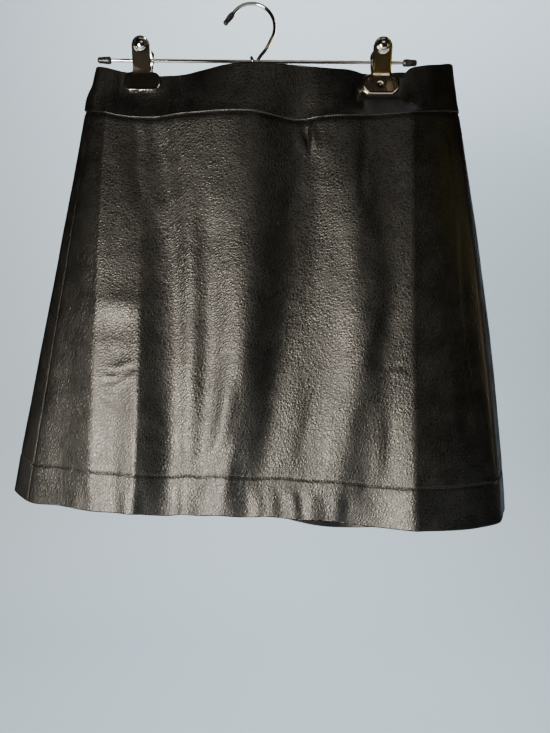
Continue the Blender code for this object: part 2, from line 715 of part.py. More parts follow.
def build_rivet(side, face, collection, frame):
    """The domed rivet head near the top of a clip's handle."""
    sign = -1 if face == "front" else 1
    profile = [(RIVET_RADIUS * math.sin(a), RIVET_HEIGHT * math.cos(a))
               for a in np.linspace(0, math.pi / 2, 6)]
    profile.append((0.0, 0.0))
    rivet = turned_object(f"clip_{side}_rivet_{face}", profile, collection, CHROME, frame)
    height = HANDLE_TOP - RIVET_DROP
    lean = (plate_depth(HANDLE_TOP) - plate_depth(0.0)) / HANDLE_TOP
    outwards = Vector((0.0, sign, -lean)).normalized()
    stand_off = PLATE_WALL / 2 + SEAM_GAP
    place = Vector((0.0, sign * plate_depth(height), height)) + outwards * stand_off
    rivet.location = place * MM
    rivet.rotation_euler = outwards.to_track_quat("Z", "Y").to_euler()


def build_spring(side, collection, frame):
    """The clip's coil spring round the bar, as a plain sleeve."""
    half = SPRING_LENGTH / 2
    inner = SPRING_RADIUS - SPRING_WALL
    profile = ((SPRING_RADIUS, half), (SPRING_RADIUS, -half), (inner, -half), (inner, half))
    name = f"clip_{side}_spring"
    spring = turned_object(name, profile, collection, CHROME, frame, closed=True)
    spring.rotation_euler = (0.0, math.pi / 2, 0.0)


def build_hanger(collection, tools):
    bar_frame = add_empty("bar_frame", BAR_CENTRE, collection)
    hook_frame = add_empty("hook_frame", Vector((0.0, 0.0, 0.0)), collection)
    build_bar(collection, bar_frame)
    build_hook(collection, hook_frame)
    for side, x in CLIP_X.items():
        clip_frame = add_empty(f"clip_{side}_frame", Vector((x, 0.0, BAR_CENTRE.z)), collection)
        for face in ("front", "back"):
            build_clip_plate(side, face, collection, tools, clip_frame)
            build_rivet(side, face, collection, clip_frame)
        build_spring(side, collection, clip_frame)


# --- the zip's slider and pull -----------------------------------------------------------------


def build_slider(collection, tools, frame):
    """The zip's slider, with the bridge that holds the pull."""
    bpy.ops.mesh.primitive_cube_add(size=1.0)
    body = bpy.context.object
    body.name = "zip_slider"
    body.data.name = "zip_slider"
    for owner in list(body.users_collection):
        owner.objects.unlink(body)
    collection.objects.link(body)
    body.data.transform(Matrix.Diagonal((*(SLIDER_SIZE * MM), 1.0)))
    body.data.transform(Matrix.Translation(Vector((0.0, -SLIDER_SIZE.y / 2, 0.0)) * MM))
    body.data.materials.append(material_for(ZIP_METAL))
    body.parent = frame
    bevel = body.modifiers.new("Rounded", "BEVEL")
    bevel.width = 0.5 * MM
    bevel.segments = 1
    inner = BRIDGE_HALF_SPAN - BRIDGE_BAR
    roof = BRIDGE_HEIGHT - BRIDGE_BAR
    root = -SLIDER_SIZE.y / 2
    shoulder = BRIDGE_HEIGHT - BRIDGE_CHAMFER
    top = BRIDGE_HALF_SPAN - BRIDGE_CHAMFER
    outline = (
        (root, -BRIDGE_HALF_SPAN),
        (shoulder, -BRIDGE_HALF_SPAN),
        (BRIDGE_HEIGHT, -top),
        (BRIDGE_HEIGHT, top),
        (shoulder, BRIDGE_HALF_SPAN),
        (root, BRIDGE_HALF_SPAN),
        (root, inner),
        (roof, inner),
        (roof, -inner),
        (root, -inner),
    )
    bridge = flat_object("zip_bridge", (outline,), BRIDGE_WIDTH, tools, None, frame)
    bridge.rotation_euler = Matrix(((0, 0, 1), (1, 0, 0), (0, 1, 0))).to_euler()
    join(body, curve_to_mesh(bridge, tools))


def build_pull(collection, frame):
    """The zip's drop-shaped pull tab. Its origin is on the hinge's axis, inside the bridge."""
    top = PULL_WALL / 2
    shoulder = -EYE_LENGTH - 0.5
    tail = -PULL_LENGTH + PULL_HALF_WIDTH
    drop = arc((0.0, tail), PULL_HALF_WIDTH, 0, -180, HALF_TURN_POINTS)
    outline = [(-0.8 * PULL_HALF_WIDTH, top), (0.8 * PULL_HALF_WIDTH, top)]
    outline += [(0.95 * PULL_HALF_WIDTH, shoulder), (0.55 * PULL_HALF_WIDTH, 0.5 * tail)]
    outline += drop
    outline += [(-0.55 * PULL_HALF_WIDTH, 0.5 * tail), (-0.95 * PULL_HALF_WIDTH, shoulder)]
    low = -EYE_LENGTH
    eye = [(-EYE_HALF_WIDTH, -top), (EYE_HALF_WIDTH, -top)]
    eye += [(EYE_HALF_WIDTH, low), (-EYE_HALF_WIDTH, low)]
    pull = flat_object("zip_pull", (outline, eye), PULL_WALL, collection, ZIP_METAL, frame)
    pull.location = Vector((0.0, PIVOT_HEIGHT, 0.0)) * MM
    pull.rotation_euler = (math.pi / 2, 0.0, 0.0)


def build_zip(back_seam, collection, tools):
    """The slider near the top of the centre-back seam, and its pull hanging down outside."""
    edge = Vector(back_seam[0])
    downwards = (Vector(back_seam[1]) - edge).normalized()
    stand_off = Vector((0.0, SLIDER_STAND_OFF + SLIDER_SIZE.y, 0.0))
    frame = add_empty("zip_frame", edge + downwards * SLIDER_DROP + stand_off, collection)
    build_slider(collection, tools, frame)
    build_pull(collection, frame)


def main():
    clear_scene()
    collection = new_collection(COLLECTION)
    tools = new_collection("joining_tools")
    back_seam = build_cloth(collection)
    build_hanger(collection, tools)
    build_zip(back_seam, collection, tools)


main()
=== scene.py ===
"""Looks of a black leather mini skirt on a clip hanger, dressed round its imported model.

Tables and fields are in millimetres, Blender's objects in metres. +X is the viewer's right, +Y
runs from the skirt's front to its back and +Z is up; the origin is the crook of the hanger's hook.
"""

import json
import logging
import math
from collections.abc import Iterable, Sequence
from dataclasses import dataclass
from enum import Enum

import bmesh
import bpy
import numpy as np
from mathutils import Matrix, Vector, noise


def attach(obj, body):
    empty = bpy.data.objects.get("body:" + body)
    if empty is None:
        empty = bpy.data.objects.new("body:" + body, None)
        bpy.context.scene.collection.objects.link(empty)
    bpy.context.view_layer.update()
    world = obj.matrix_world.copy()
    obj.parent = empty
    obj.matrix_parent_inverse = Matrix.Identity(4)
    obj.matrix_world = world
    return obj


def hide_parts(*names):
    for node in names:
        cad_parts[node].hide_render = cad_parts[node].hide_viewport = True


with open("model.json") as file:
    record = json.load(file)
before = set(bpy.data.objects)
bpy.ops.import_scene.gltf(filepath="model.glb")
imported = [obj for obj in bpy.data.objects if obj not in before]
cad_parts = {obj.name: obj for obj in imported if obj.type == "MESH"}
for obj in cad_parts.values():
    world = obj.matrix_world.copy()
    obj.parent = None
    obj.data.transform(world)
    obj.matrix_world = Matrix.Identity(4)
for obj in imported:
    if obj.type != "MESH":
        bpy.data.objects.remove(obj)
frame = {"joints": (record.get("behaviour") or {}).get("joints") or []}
LOG = logging.getLogger("leather_skirt")
MM = 0.001

Colour = tuple[float, float, float, float]
Socket = bpy.types.NodeSocket
Material = bpy.types.Material
Mesh = bpy.types.Mesh
Tree = bpy.types.NodeTree
Array = np.ndarray
Pair = tuple[float, float]

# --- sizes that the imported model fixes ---

LEATHER = 1.2
HEM_WALL = 2 * LEATHER
BAND_WALL = 2 * LEATHER
SEAM_GAP = 0.06
HEM_DEPTH = 40.0
WAIST_TOP_Z = -64.5
WAIST_SEAM_Z = -109.5
HEM_Z = -491.0
WAIST_CENTRE_X = 21.0
BAND_HEIGHT = WAIST_TOP_Z - WAIST_SEAM_Z
PANEL_HEIGHT = WAIST_SEAM_Z - HEM_Z
CLIP_X = {"left": -104.5, "right": 122.5}
JAW_HALF_WIDTH = 17.3
CLIP_PINCH = 3.0
CLIP_GRIP_DEPTH = 20.0
CLIP_GRIP_MARGIN = (0.5, 12.0)
LEFT_FLARE = 1.15
LEFT_FLARE_X = (-115.0, -145.0)
BAR_CENTRE = Vector((4.5, 0.0, -52.2))
WIRE_RADIUS = 1.7
FIT_GAP = 0.35

# The back's hem droops on the right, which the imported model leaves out: how far at most, how far
# across and how wide, from which share of the panel's height on, and over how many columns.
BACK_DROOP = 21.0
BACK_DROOP_X = (98.0, 75.0)
BACK_DROOP_FROM = 0.4
BACK_DROOP_COLUMNS = 20


@dataclass(frozen=True)
class Fold:
    """A line down a panel: its place across, its depth and its height, from waist seam to hem.

    Its crease runs from 0, where the leather turns softly, to 1, where it is folded sharply.
    """

    name: str
    across: tuple[float, float, float]
    depth: tuple[float, float, float, float]
    height: Pair
    crease: float = 0.0


FRONT_FOLDS = (
    Fold("side seam left", (-155, -191, -226), (-1, 6, 10, 14), (-100.5, -484.0)),
    Fold("left facet", (-147, -170, -191), (-5, -2, 1, 3), (-102.5, -484.7)),
    Fold("left crease", (-138, -149, -157), (-9, -8.5, -8, -8), (-104.7, -486.7), 0.8),
    Fold("pressed strip", (-124, -128, -135), (-8.5, -8.8, -10.2, -9.5), (-107.1, -487.6)),
    Fold("strip crease", (-109, -106, -113), (-8, -8.8, -14.5, -13.5), (-108.4, -488.0), 0.8),
    Fold("left trough", (-89, -74, -76), (-9.5, -5, -6, -5), (-108.6, -491.4)),
    Fold("narrow ridge", (-68, -56, -64), (-16, -10.5, -9.5, -8.0), (-108.1, -489.3)),
    Fold("narrow trough", (-57, -44, -50), (-18, -12, -10, -8.5), (-107.8, -490.3)),
    Fold("centre ridge", (0, -4, -28), (-24, -19.5, -18, -11.5), (-107.9, -489.1)),
    Fold("diagonal trough", (52, 34, -9), (-16, -11.5, -10, -10.5), (-112.5, -490.7)),
    Fold("low slope", (60, 54, 20), (-18.5, -12.5, -12, -12.0), (-111.5, -489.5)),
    Fold("high slope", (68, 75, 44), (-19.5, -17, -15, -14.5), (-110.8, -491.3)),
    Fold("broad ridge", (84, 106, 74), (-21.5, -24, -23, -17.5), (-110.3, -491.5)),
    Fold("right trough", (108, 127, 110), (-21, -22.5, -23.5, -20), (-109.5, -494.9)),
    Fold("right crease", (149, 152.2, 157), (-24, -26, -29, -35), (-107.5, -495.0), 0.9),
    Fold("right facet", (175, 192, 214), (-17, -20.5, -24, -29), (-104.2, -493.2)),
    Fold("right edge", (192, 219, 239), (-7, -11, -16, -21), (-100.3, -490.5), 0.4),
    Fold("side seam right", (198, 229, 251), (0, 1, 0, -1), (-98.4, -487.5)),
)
BACK_FOLDS = (
    Fold("back edge right", (199, 235.5, 259), (6, 12, 15, 18), (-98.2, -486.6), 0.2),
    Fold("right back facet", (180, 214, 232), (11, 17, 22, 26), (-103.5, -489.3)),
    Fold("right back ridge", (150, 178, 190), (13, 22, 27, 31), (-108.0, -491.5)),
    Fold("right back trough", (118, 142, 148), (12, 15, 19, 21), (-109.2, -492.5)),
    Fold("inner right ridge", (82, 98, 104), (14, 22, 28, 32), (-109.5, -492.5)),
    Fold("inner right trough", (47, 48, 46), (17, 19, 22, 24), (-109.5, -491.5)),
    Fold("centre back seam", (21, 17, 12), (18, 22, 26, 28), (-109.5, -491.0)),
    Fold("inner left trough", (-5, -14, -22), (17, 19, 22, 24), (-109.5, -491.0)),
    Fold("inner left ridge", (-48, -65, -76), (15, 22, 27, 31), (-109.5, -491.0)),
    Fold("left back trough", (-84, -105, -120), (12, 15, 18, 20), (-109.1, -489.5)),
    Fold("left back ridge", (-115, -145, -168), (12, 20, 25, 29), (-107.4, -485.5)),
    Fold("left back facet", (-142, -185, -216), (11, 18, 24, 29), (-103.5, -479.5)),
    Fold("back edge left", (-162, -203.5, -244), (5, 14, 19, 24), (-98.5, -474.7), 0.1),
)


@dataclass(frozen=True)
class WaistPoint:
    """A place on the waist's top edge: depth and rise of the front and of the back there."""

    x: float
    front: Pair
    back: Pair


WAIST_EDGE = (
    WaistPoint(-149, (0, 5.6), (0, 5.6)),
    WaistPoint(-147, (-4, 5.2), (4, 5.2)),
    WaistPoint(-139, (-6, 3.9), (6, 3.9)),
    WaistPoint(-129, (-5, 2.1), (5, 2.1)),
    WaistPoint(-123, (-CLIP_PINCH, 1.5), (CLIP_PINCH, 1.5)),
    WaistPoint(-86, (-CLIP_PINCH, -2.4), (CLIP_PINCH, -2.0)),
    WaistPoint(-66, (-4.5, -1.6), (5, -1.0)),
    WaistPoint(-45, (-11, 0.0), (9, 0.0)),
    WaistPoint(-25, (-20, 0.7), (13, 0.3)),
    WaistPoint(2, (-25, 0.7), (16, 0.3)),
    WaistPoint(40, (-21, 0.5), (16, 0.3)),
    WaistPoint(74, (-15, 0.6), (11, 0.5)),
    WaistPoint(94, (-9, 1.8), (6, 1.8)),
    WaistPoint(104, (-CLIP_PINCH, 1.9), (CLIP_PINCH, 2.6)),
    WaistPoint(141, (-CLIP_PINCH, -2.3), (CLIP_PINCH, 5.0)),
    WaistPoint(148, (-11, 3.0), (5, 6.0)),
    WaistPoint(158, (-14, 4.0), (7, 6.5)),
    WaistPoint(174, (-12.5, 6.0), (8, 7.5)),
    WaistPoint(187, (-7, 9.3), (6, 9.5)),
    WaistPoint(191, (0, 10.0), (0, 10.0)),
)


# --- creases, ripples and other relief ---


class Side(Enum):
    """The side of the skirt that a mark lies on."""

    FRONT = "front"
    BACK = "back"


class Relief(Enum):
    """How a mark is shaped across its line."""

    ROLL = "roll"
    PINCH = "pinch"
    STEP = "step"


@dataclass(frozen=True)
class Crease:
    """A mark on the leather that follows a line of (across, height) points.

    A positive rise is a ridge and a negative one a trough; width is the half width of a roll.
    """

    name: str
    side: Side
    relief: Relief
    rise: float
    width: float
    line: tuple[Pair, ...]
    rubbed: float = 0.0


F, B = Side.FRONT, Side.BACK
ROLL, PINCH, STEP = Relief.ROLL, Relief.PINCH, Relief.STEP
CREASES = (
    Crease("fold under left clip", F, ROLL, -0.7, 5.0, ((-108, -106), (-109, -150), (-107, -196))),
    Crease("roll left of it", F, ROLL, 0.3, 6.0, ((-124, -112), (-126, -150), (-128, -205))),
    Crease("left roll", F, ROLL, 0.9, 10.0, (
        (-96, -145), (-87, -182), (-79, -210), (-78, -320), (-78, -390),
    )),
    Crease("ridge dip", F, STEP, -1.1, 15.0, (
        (-54, -160), (-48, -210), (-47, -320), (-49, -355), (-51, -410),
    )),
    Crease("trough foot", F, STEP, -0.9, 9.0, (
        (-14, -335), (-17, -377), (-22, -405), (-32, -433), (-44, -462), (-48, -500),
    )),
    Crease("filled trough", F, STEP, 1.2, 13.0, ((3, -340), (1, -395), (-4, -430), (-6, -450), (-9, -500))),
    Crease("strip glint", F, ROLL, 1.3, 12.0, ((-160, -284), (-94, -284))),
    Crease("strip hollow", F, ROLL, -0.7, 10.0, ((-160, -311), (-104, -307))),
    Crease("leaf roll", F, ROLL, 0.7, 8.0, ((116, -205), (121, -250), (120, -285), (113, -322), (104, -358))),
    Crease("low slope dip", F, STEP, -0.55, 8.0, ((128, -365), (127, -420), (127, -470))),
    Crease("edge roll", F, STEP, -0.5, 3.5, (
        (182, -118), (194, -200), (196, -250), (199, -294), (205, -331), (213, -377), (219, -415),
    )),
    Crease("press mark upper", F, PINCH, -1.2, 3.0, ((-144, -351), (-128, -350), (-104, -342)), 0.6),
    Crease("press mark lower", F, PINCH, -1.0, 3.2, ((-148, -361), (-130, -357), (-104, -344)), 0.5),
    Crease("press mark foot", F, PINCH, -0.5, 3.0, ((-146, -372), (-137, -377), (-126, -383)), 0.3),
    Crease("press ridge", F, ROLL, 0.5, 4.0, ((-147, -356), (-129, -354), (-103, -343)), 0.5),
    Crease("press dent", F, ROLL, -0.5, 7.0, ((-138, -330), (-128, -334), (-118, -336))),
    Crease("dart fold", F, PINCH, -2.2, 3.5, ((50, -112), (51, -122), (53, -134), (55, -146))),
    Crease("dart tail", F, ROLL, -0.5, 5.0, ((52, -140), (44, -165), (34, -195), (40, -235))),
    Crease("gather mark", F, ROLL, -0.35, 2.6, ((73, -112), (74, -124), (72, -136))),
    Crease("gather mark 2", F, ROLL, -0.3, 2.4, ((60, -113), (62, -122), (60, -131))),
    Crease("second dart", F, ROLL, -0.8, 4.5, ((108, -112), (106, -132), (103, -160), (104, -200))),
    Crease("second dart tail", F, ROLL, -0.5, 7.0, ((104, -196), (108, -240), (101, -290))),
    Crease("leaf hollow", F, ROLL, -0.5, 9.0, ((140, -236), (133, -290), (118, -330), (108, -350))),
    Crease("leaf tail", F, ROLL, -0.3, 8.0, ((108, -350), (107, -390), (102, -460))),
    Crease("kink by crease", F, PINCH, -0.7, 3.0, ((126, -346), (138, -341), (149, -343)), 0.4),
    Crease("kink ridge", F, ROLL, 0.3, 5.0, ((128, -352), (140, -348), (150, -350)), 0.4),
    Crease("low drag", F, ROLL, -0.4, 6.0, ((62, -355), (56, -392), (50, -430), (44, -446))),
    Crease("low drag 2", F, ROLL, 0.3, 7.0, ((84, -352), (78, -390), (76, -440))),
    Crease("middle drag", F, ROLL, 0.3, 8.0, ((-12, -400), (-2, -430), (2, -446))),
    Crease("right back drag", B, ROLL, -0.7, 8.0, ((168, -118), (160, -170), (166, -240))),
    Crease("right back roll", B, ROLL, 0.5, 9.0, ((120, -130), (112, -190), (122, -270))),
    Crease("right back press", B, PINCH, -1.0, 3.0, ((96, -318), (112, -322), (130, -319)), 0.4),
    Crease("seat roll right", B, ROLL, 0.6, 11.0, ((62, -150), (70, -220), (74, -300))),
    Crease("seat roll left", B, ROLL, 0.6, 12.0, ((-34, -140), (-40, -215), (-36, -310))),
    Crease("seat hollow left", B, ROLL, -0.6, 9.0, ((-64, -125), (-86, -190), (-92, -260))),
    Crease("left back press", B, PINCH, -1.1, 3.0, ((-150, -352), (-134, -349), (-118, -356)), 0.5),
    Crease("left back drag", B, ROLL, -0.7, 7.0, ((-128, -115), (-134, -160), (-150, -215))),
    Crease("low back drag", B, ROLL, -0.4, 7.0, ((-20, -380), (-30, -420), (-28, -446))),
    Crease("low back drag 2", B, ROLL, 0.4, 7.0, ((132, -378), (138, -415), (136, -446))),
)

RIPPLE_RISE = 0.55

# Places across the hem, rise, half width and lean of the ripples below the line of stitches.
RIPPLES = {
    Side.FRONT: (
        (-173, 0.7, 5.0, 3), (-160, -0.7, 4.5, 2), (-148, 0.8, 4.5, 0), (-131, -1.0, 6.0, 3),
        (-119, 0.9, 4.5, 0), (-103, -1.3, 5.5, -3), (-80, 0.5, 6.0, 2), (-62, 1.0, 5.5, 3),
        (-49, -0.2, 4.5, 3), (-16, 1.1, 9.0, 4), (-2, -0.8, 4.5, 4), (8, 0.9, 5.0, 3),
        (22, 0.8, 4.5, 6), (31, -0.6, 3.5, 6), (43, 0.9, 4.0, 7), (51, -1.1, 3.2, 6),
        (60, 0.8, 3.6, 5), (73, -0.9, 4.0, 6), (84, 0.8, 4.0, 2), (94, -1.2, 4.0, 1),
        (112, 0.7, 7.0, 2), (133, -0.6, 6.0, -3), (150, 0.6, 4.5, -1), (196, -0.5, 8.0, 4),
    ),
    Side.BACK: (
        (236, 0.7, 6.0, -3), (221, -0.8, 5.0, 2), (203, 0.9, 6.0, 1), (183, -1.0, 5.0, -4),
        (165, 0.8, 5.0, 2), (150, -0.7, 4.5, 5), (128, 0.9, 6.0, 3), (112, -1.1, 5.0, -2),
        (88, 0.8, 6.0, 4), (70, -0.9, 4.5, 2), (52, 0.8, 5.0, -2), (34, -0.7, 4.5, 0),
        (-4, 0.7, 5.0, 2), (-22, -1.0, 5.0, -3), (-44, 0.9, 6.0, 0), (-66, -0.8, 4.5, 4),
        (-84, 0.9, 5.0, 2), (-108, -1.1, 5.5, -3), (-130, 0.8, 6.0, 2), (-151, -0.8, 5.0, 3),
        (-176, 0.9, 6.0, -2), (-200, -0.8, 5.5, 3), (-222, 0.7, 5.0, 0),
    ),
}


def smooth_step(value: Array | float, low: float, high: float) -> Array:
    """Returns 0 up to low, 1 from high on, and a soft rise between them; low may be the larger."""
    t = np.clip((np.asarray(value, float) - low) / (high - low), 0.0, 1.0)
    return t * t * (3 - 2 * t)


def eased_ramp(t: float, ease: float = 0.35) -> float:
    """Returns 0 up to t = 0 and then a straight ramp to 1 at t = 1 that starts softly."""
    t = max(t, 0.0)
    return (t * t / (2 * ease) if t < ease else t - ease / 2) / (1 - ease / 2)


def unit(vectors: Array) -> Array:
    """Returns the vectors along the last axis at length 1."""
    return vectors / np.linalg.norm(vectors, axis=-1, keepdims=True)


def distance_to_line(
    x: Array, z: Array, line: Sequence[Pair]
) -> tuple[Array, Array, float]:
    """Measures points against an open line of (x, z) corners.

    Args:
        x: Places across, in millimetres.
        z: Heights of the same points.
        line: The corners of the line.

    Returns:
        Signed distances (positive on the line's left), distances along it, and its length.
    """
    best = np.full(x.shape, np.inf)
    signed = np.zeros(x.shape)
    along = np.zeros(x.shape)
    walked = 0.0
    for (x0, z0), (x1, z1) in zip(line, line[1:]):
        span = math.hypot(x1 - x0, z1 - z0)
        ux, uz = (x1 - x0) / span, (z1 - z0) / span
        t = np.clip((x - x0) * ux + (z - z0) * uz, 0.0, span)
        dx, dz = x - x0 - ux * t, z - z0 - uz * t
        gap = np.hypot(dx, dz)
        nearer = gap < best
        best = np.where(nearer, gap, best)
        signed = np.where(nearer, np.sign(ux * dz - uz * dx) * gap, signed)
        along = np.where(nearer, walked + t, along)
        walked += span
    return signed, along, walked


def crease_relief(crease: Crease, x: Array, z: Array) -> Array:
    """Works out how far a crease lifts the leather.

    Args:
        crease: The mark.
        x: Places across, in millimetres.
        z: Heights of the same points.

    Returns:
        The rise at each point, in shares of the crease's own rise.
    """
    signed, along, length = distance_to_line(x, z, crease.line)
    fade = min(0.45 * length, 5 * crease.width)
    ends = smooth_step(along, 0.0, fade) * smooth_step(along, length, length - fade)
    across = signed / crease.width
    if crease.relief is Relief.ROLL:
        shape = np.exp(-(across**2))
    elif crease.relief is Relief.PINCH:
        shape = np.exp(-np.abs(across) * 1.8) - 0.45 * np.exp(-((np.abs(across) - 1.6) ** 2))
    else:
        shape = np.exp(-(across**2)) * across * 2
    return shape * ends


def ripple_creases(side: Side) -> list[Crease]:
    """Returns the hem's ripples on one side as creases from the stitches to the edge."""
    creases = []
    for x, rise, width, lean in RIPPLES[side]:
        line = ((x - lean, HEM_Z + HEM_DEPTH - 4), (x, HEM_Z + 18), (x + 0.4 * lean, HEM_Z - 25))
        creases.append(Crease("ripple", side, Relief.ROLL, RIPPLE_RISE * rise, width, line))
    return creases


def unevenness(points: Array, size: float, seed: float) -> Array:
    """Returns soft noise between -1 and 1 over the points, with lumps about size across."""
    flat = points.reshape(-1, 3) / size
    values = [noise.noise(Vector((x + seed, y, z - seed))) for x, y, z in flat]
    return np.array(values).reshape(points.shape[:-1])


# --- the draped form ---


def grip(x: Array) -> Array:
    """Returns 1 where a clip's jaws hold the band and 0 a finger's width away from them."""
    gaps = np.min([np.abs(x - centre) - JAW_HALF_WIDTH for centre in CLIP_X.values()], axis=0)
    return 1 - smooth_step(gaps, *CLIP_GRIP_MARGIN)


def walked(curve: Array) -> Array:
    """Returns the distance along an open curve at each of its points."""
    steps = np.linalg.norm(np.diff(curve, axis=0), axis=1)
    return np.concatenate(((0.0,), np.cumsum(steps)))


def arc_shares(curve: Array) -> Array:
    """Returns each point's share of the length along an open curve."""
    lengths = walked(curve)
    return lengths / lengths[-1]


def arc_points(
    centre: Pair, radius: float, first: float, last: float, count: int
) -> list[Pair]:
    """Returns points on an arc round a centre, from a first to a last angle in degrees."""
    angles = np.radians(np.linspace(first, last, count))
    return [(centre[0] + radius * math.cos(a), centre[1] + radius * math.sin(a)) for a in angles]


def bend(
    t: Array, start: Array, end: Array, leaving: Array, arriving: Array
) -> Array:
    """Returns places at t = 0..1 on a curve from start to end with the given slopes there."""
    return (
        (2 * t**3 - 3 * t**2 + 1) * start
        + (t**3 - 2 * t**2 + t) * leaving
        + (3 * t**2 - 2 * t**3) * end
        + (t**3 - t**2) * arriving
    )


def ring_curve(
    points: Array, creases: Array, segments: Array, t: Array
) -> Array:
    """Follows a closed curve that is smooth at its points but for the creased ones.

    Args:
        points: The ring's points, in order.
        creases: 0 for a smooth point and 1 for a sharp one.
        segments: The index of the segment of each place asked for.
        t: The share along that segment.

    Returns:
        The places, one row each.
    """
    after = np.roll(points, -1, axis=0) - points
    chords = np.linalg.norm(after, axis=1, keepdims=True)
    after = after / chords
    before = np.roll(after, 1, axis=0)
    before_chords = np.roll(chords, 1, axis=0)
    smooth = (before * chords + after * before_chords) / (before_chords + chords)
    sharp = creases[:, None]
    leaving = (smooth * (1 - sharp) + after * sharp)[segments]
    arriving = np.roll(smooth * (1 - sharp) + before * sharp, -1, axis=0)[segments]
    start, end, chord = points[segments], np.roll(points, -1, axis=0)[segments], chords[segments]
    return bend(t[:, None], start, end, chord * leaving, chord * arriving)


def graded(length: float, step: float, fine: float = 1.0, reach: float = 4.0) -> Array:
    """Returns shares of a length, about step apart and closer together near both ends."""
    ends = np.arange(0.0, reach, fine)
    count = max(2, round((length - 2 * reach) / step))
    middle = np.linspace(reach, length - reach, count + 1)
    return np.concatenate((ends, middle, length - ends[::-1])) / length


@dataclass
class SkirtForm:
    """The draped tube, as a grid of points on the leather's outer face with their normals."""

    step: float = 2.6
    edge_steps: int = 20

    def __post_init__(self) -> None:
        """Lays out the columns and rows and works out the grid."""
        self.folds = FRONT_FOLDS + BACK_FOLDS
        self.creases = np.array([fold.crease for fold in self.folds])
        self._lay_columns()
        self.band_shares = graded(BAND_HEIGHT, self.step)
        upper = graded(PANEL_HEIGHT - HEM_DEPTH, self.step) * (1 - HEM_DEPTH / PANEL_HEIGHT)
        lower = 1 - graded(HEM_DEPTH, self.step)[::-1] * HEM_DEPTH / PANEL_HEIGHT
        self.panel_shares = np.concatenate((upper, lower[1:]))
        self.seam_row = len(self.band_shares) - 1
        self.stitch_row = self.seam_row + len(upper) - 1
        seam = self.panel_ring(0.0)
        top = self._waist_ring(seam)
        rows = [self._band_ring(w, top, seam) for w in self.band_shares]
        rows += [self.panel_ring(v) for v in self.panel_shares[1:]]
        self.grid = np.array(rows)
        around = np.roll(self.grid, -1, axis=1) - np.roll(self.grid, 1, axis=1)
        self.normals = unit(np.cross(np.gradient(self.grid, axis=0), around))

    def fold_points(self, v: float) -> Array:
        """Returns where all the fold lines are at v, from 0 at the waist seam to 1 at the hem."""
        across = (2 * (v - 0.5) * (v - 1), -4 * v * (v - 1), 2 * v * (v - 0.5))
        third, two = v - 1 / 3, v - 2 / 3
        depth = (-4.5 * third * two * (v - 1), 13.5 * v * two * (v - 1))
        depth += (-13.5 * v * third * (v - 1), 4.5 * v * third * two)
        x = np.array([fold.across for fold in self.folds]) @ across
        y = np.array([fold.depth for fold in self.folds]) @ depth
        z = np.array([fold.height for fold in self.folds]) @ (1 - v, v)
        return np.stack((x, y, z), axis=1)

    def _lay_columns(self) -> None:
        """Sets the columns' places round the tube, and which of them stand on the seams."""
        middle = self.fold_points(0.6)
        chords = np.linalg.norm(np.roll(middle, -1, axis=0) - middle, axis=1)
        counts = np.maximum(1, np.round(chords / self.step)).astype(int)
        firsts = np.concatenate(((0,), np.cumsum(counts)))
        self.segments = np.repeat(np.arange(len(counts)), counts)
        self.t = np.concatenate([np.arange(count) / count for count in counts])
        names = [fold.name for fold in self.folds]
        self.left = 0
        self.right = int(firsts[names.index("side seam right")])
        self.back = int(firsts[names.index("centre back seam")])
        self.columns = int(firsts[-1])

    def panel_ring(self, v: float) -> Array:
        """Returns the ring of the panels at v; the back's hem droops on the right."""
        ring = ring_curve(self.fold_points(v), self.creases, self.segments, self.t)
        centre, width = BACK_DROOP_X
        droop = BACK_DROOP * np.exp(-(((ring[:, 0] - centre) / width) ** 2))
        droop = droop * smooth_step(v, BACK_DROOP_FROM, 1.0)
        droop = droop * smooth_step(np.arange(self.columns) - self.right, 0, BACK_DROOP_COLUMNS)
        ring[self.right :, 2] -= droop[self.right :]
        return ring

    def _edge_curve(self, side: Side) -> Array:
        """Returns the waist's top edge on one side, in the order of the columns."""
        front = [(p.x, p.front[0], WAIST_TOP_Z + p.front[1]) for p in WAIST_EDGE]
        back = [(p.x, p.back[0], WAIST_TOP_Z + p.back[1]) for p in WAIST_EDGE[-2:0:-1]]
        ring = np.array(front + back)
        last = len(WAIST_EDGE) - 1
        first, count = (0, last) if side is Side.FRONT else (last, len(ring) - last)
        segments = np.repeat(np.arange(first, first + count), self.edge_steps)
        t = np.tile(np.arange(self.edge_steps) / self.edge_steps, count)
        curve = ring_curve(ring, np.round(grip(ring[:, 0])), segments, t)
        return np.vstack((curve, ring[(first + count) % len(ring)]))

    def _waist_ring(self, seam: Array) -> Array:
        """Spreads the columns along the waist's top edge as they are spread along the seam."""
        back = self._edge_curve(Side.BACK)
        middle = int(np.argmin(np.abs(back[:, 0] - WAIST_CENTRE_X)))
        stretches = (
            (self._edge_curve(Side.FRONT), seam[self.left : self.right + 1]),
            (back[: middle + 1], seam[self.right : self.back + 1]),
            (back[middle:], np.vstack((seam[self.back :], seam[:1]))),
        )
        rings = []
        for curve, below in stretches:
            along, shares = arc_shares(curve), arc_shares(below)[:-1]
            rings.append(np.stack([np.interp(shares, along, axis) for axis in curve.T], axis=1))
        return np.vstack(rings)

    def _band_ring(self, w: float, top: Array, seam: Array) -> Array:
        """Returns a ring of the waistband at w, from 0 at its top edge to 1 at the seam."""
        ring = top + (seam - top) * w
        below_grip = eased_ramp((w * BAND_HEIGHT - CLIP_GRIP_DEPTH) / (BAND_HEIGHT - CLIP_GRIP_DEPTH))
        share = w + (below_grip - w) * grip(top[:, 0])
        ring[:, 1] = top[:, 1] + (seam[:, 1] - top[:, 1]) * share
        flare = LEFT_FLARE * smooth_step(top[:, 0], *LEFT_FLARE_X)
        ring[:, 0] += (seam[:, 0] - top[:, 0]) * flare * w * (1 - w)
        return ring


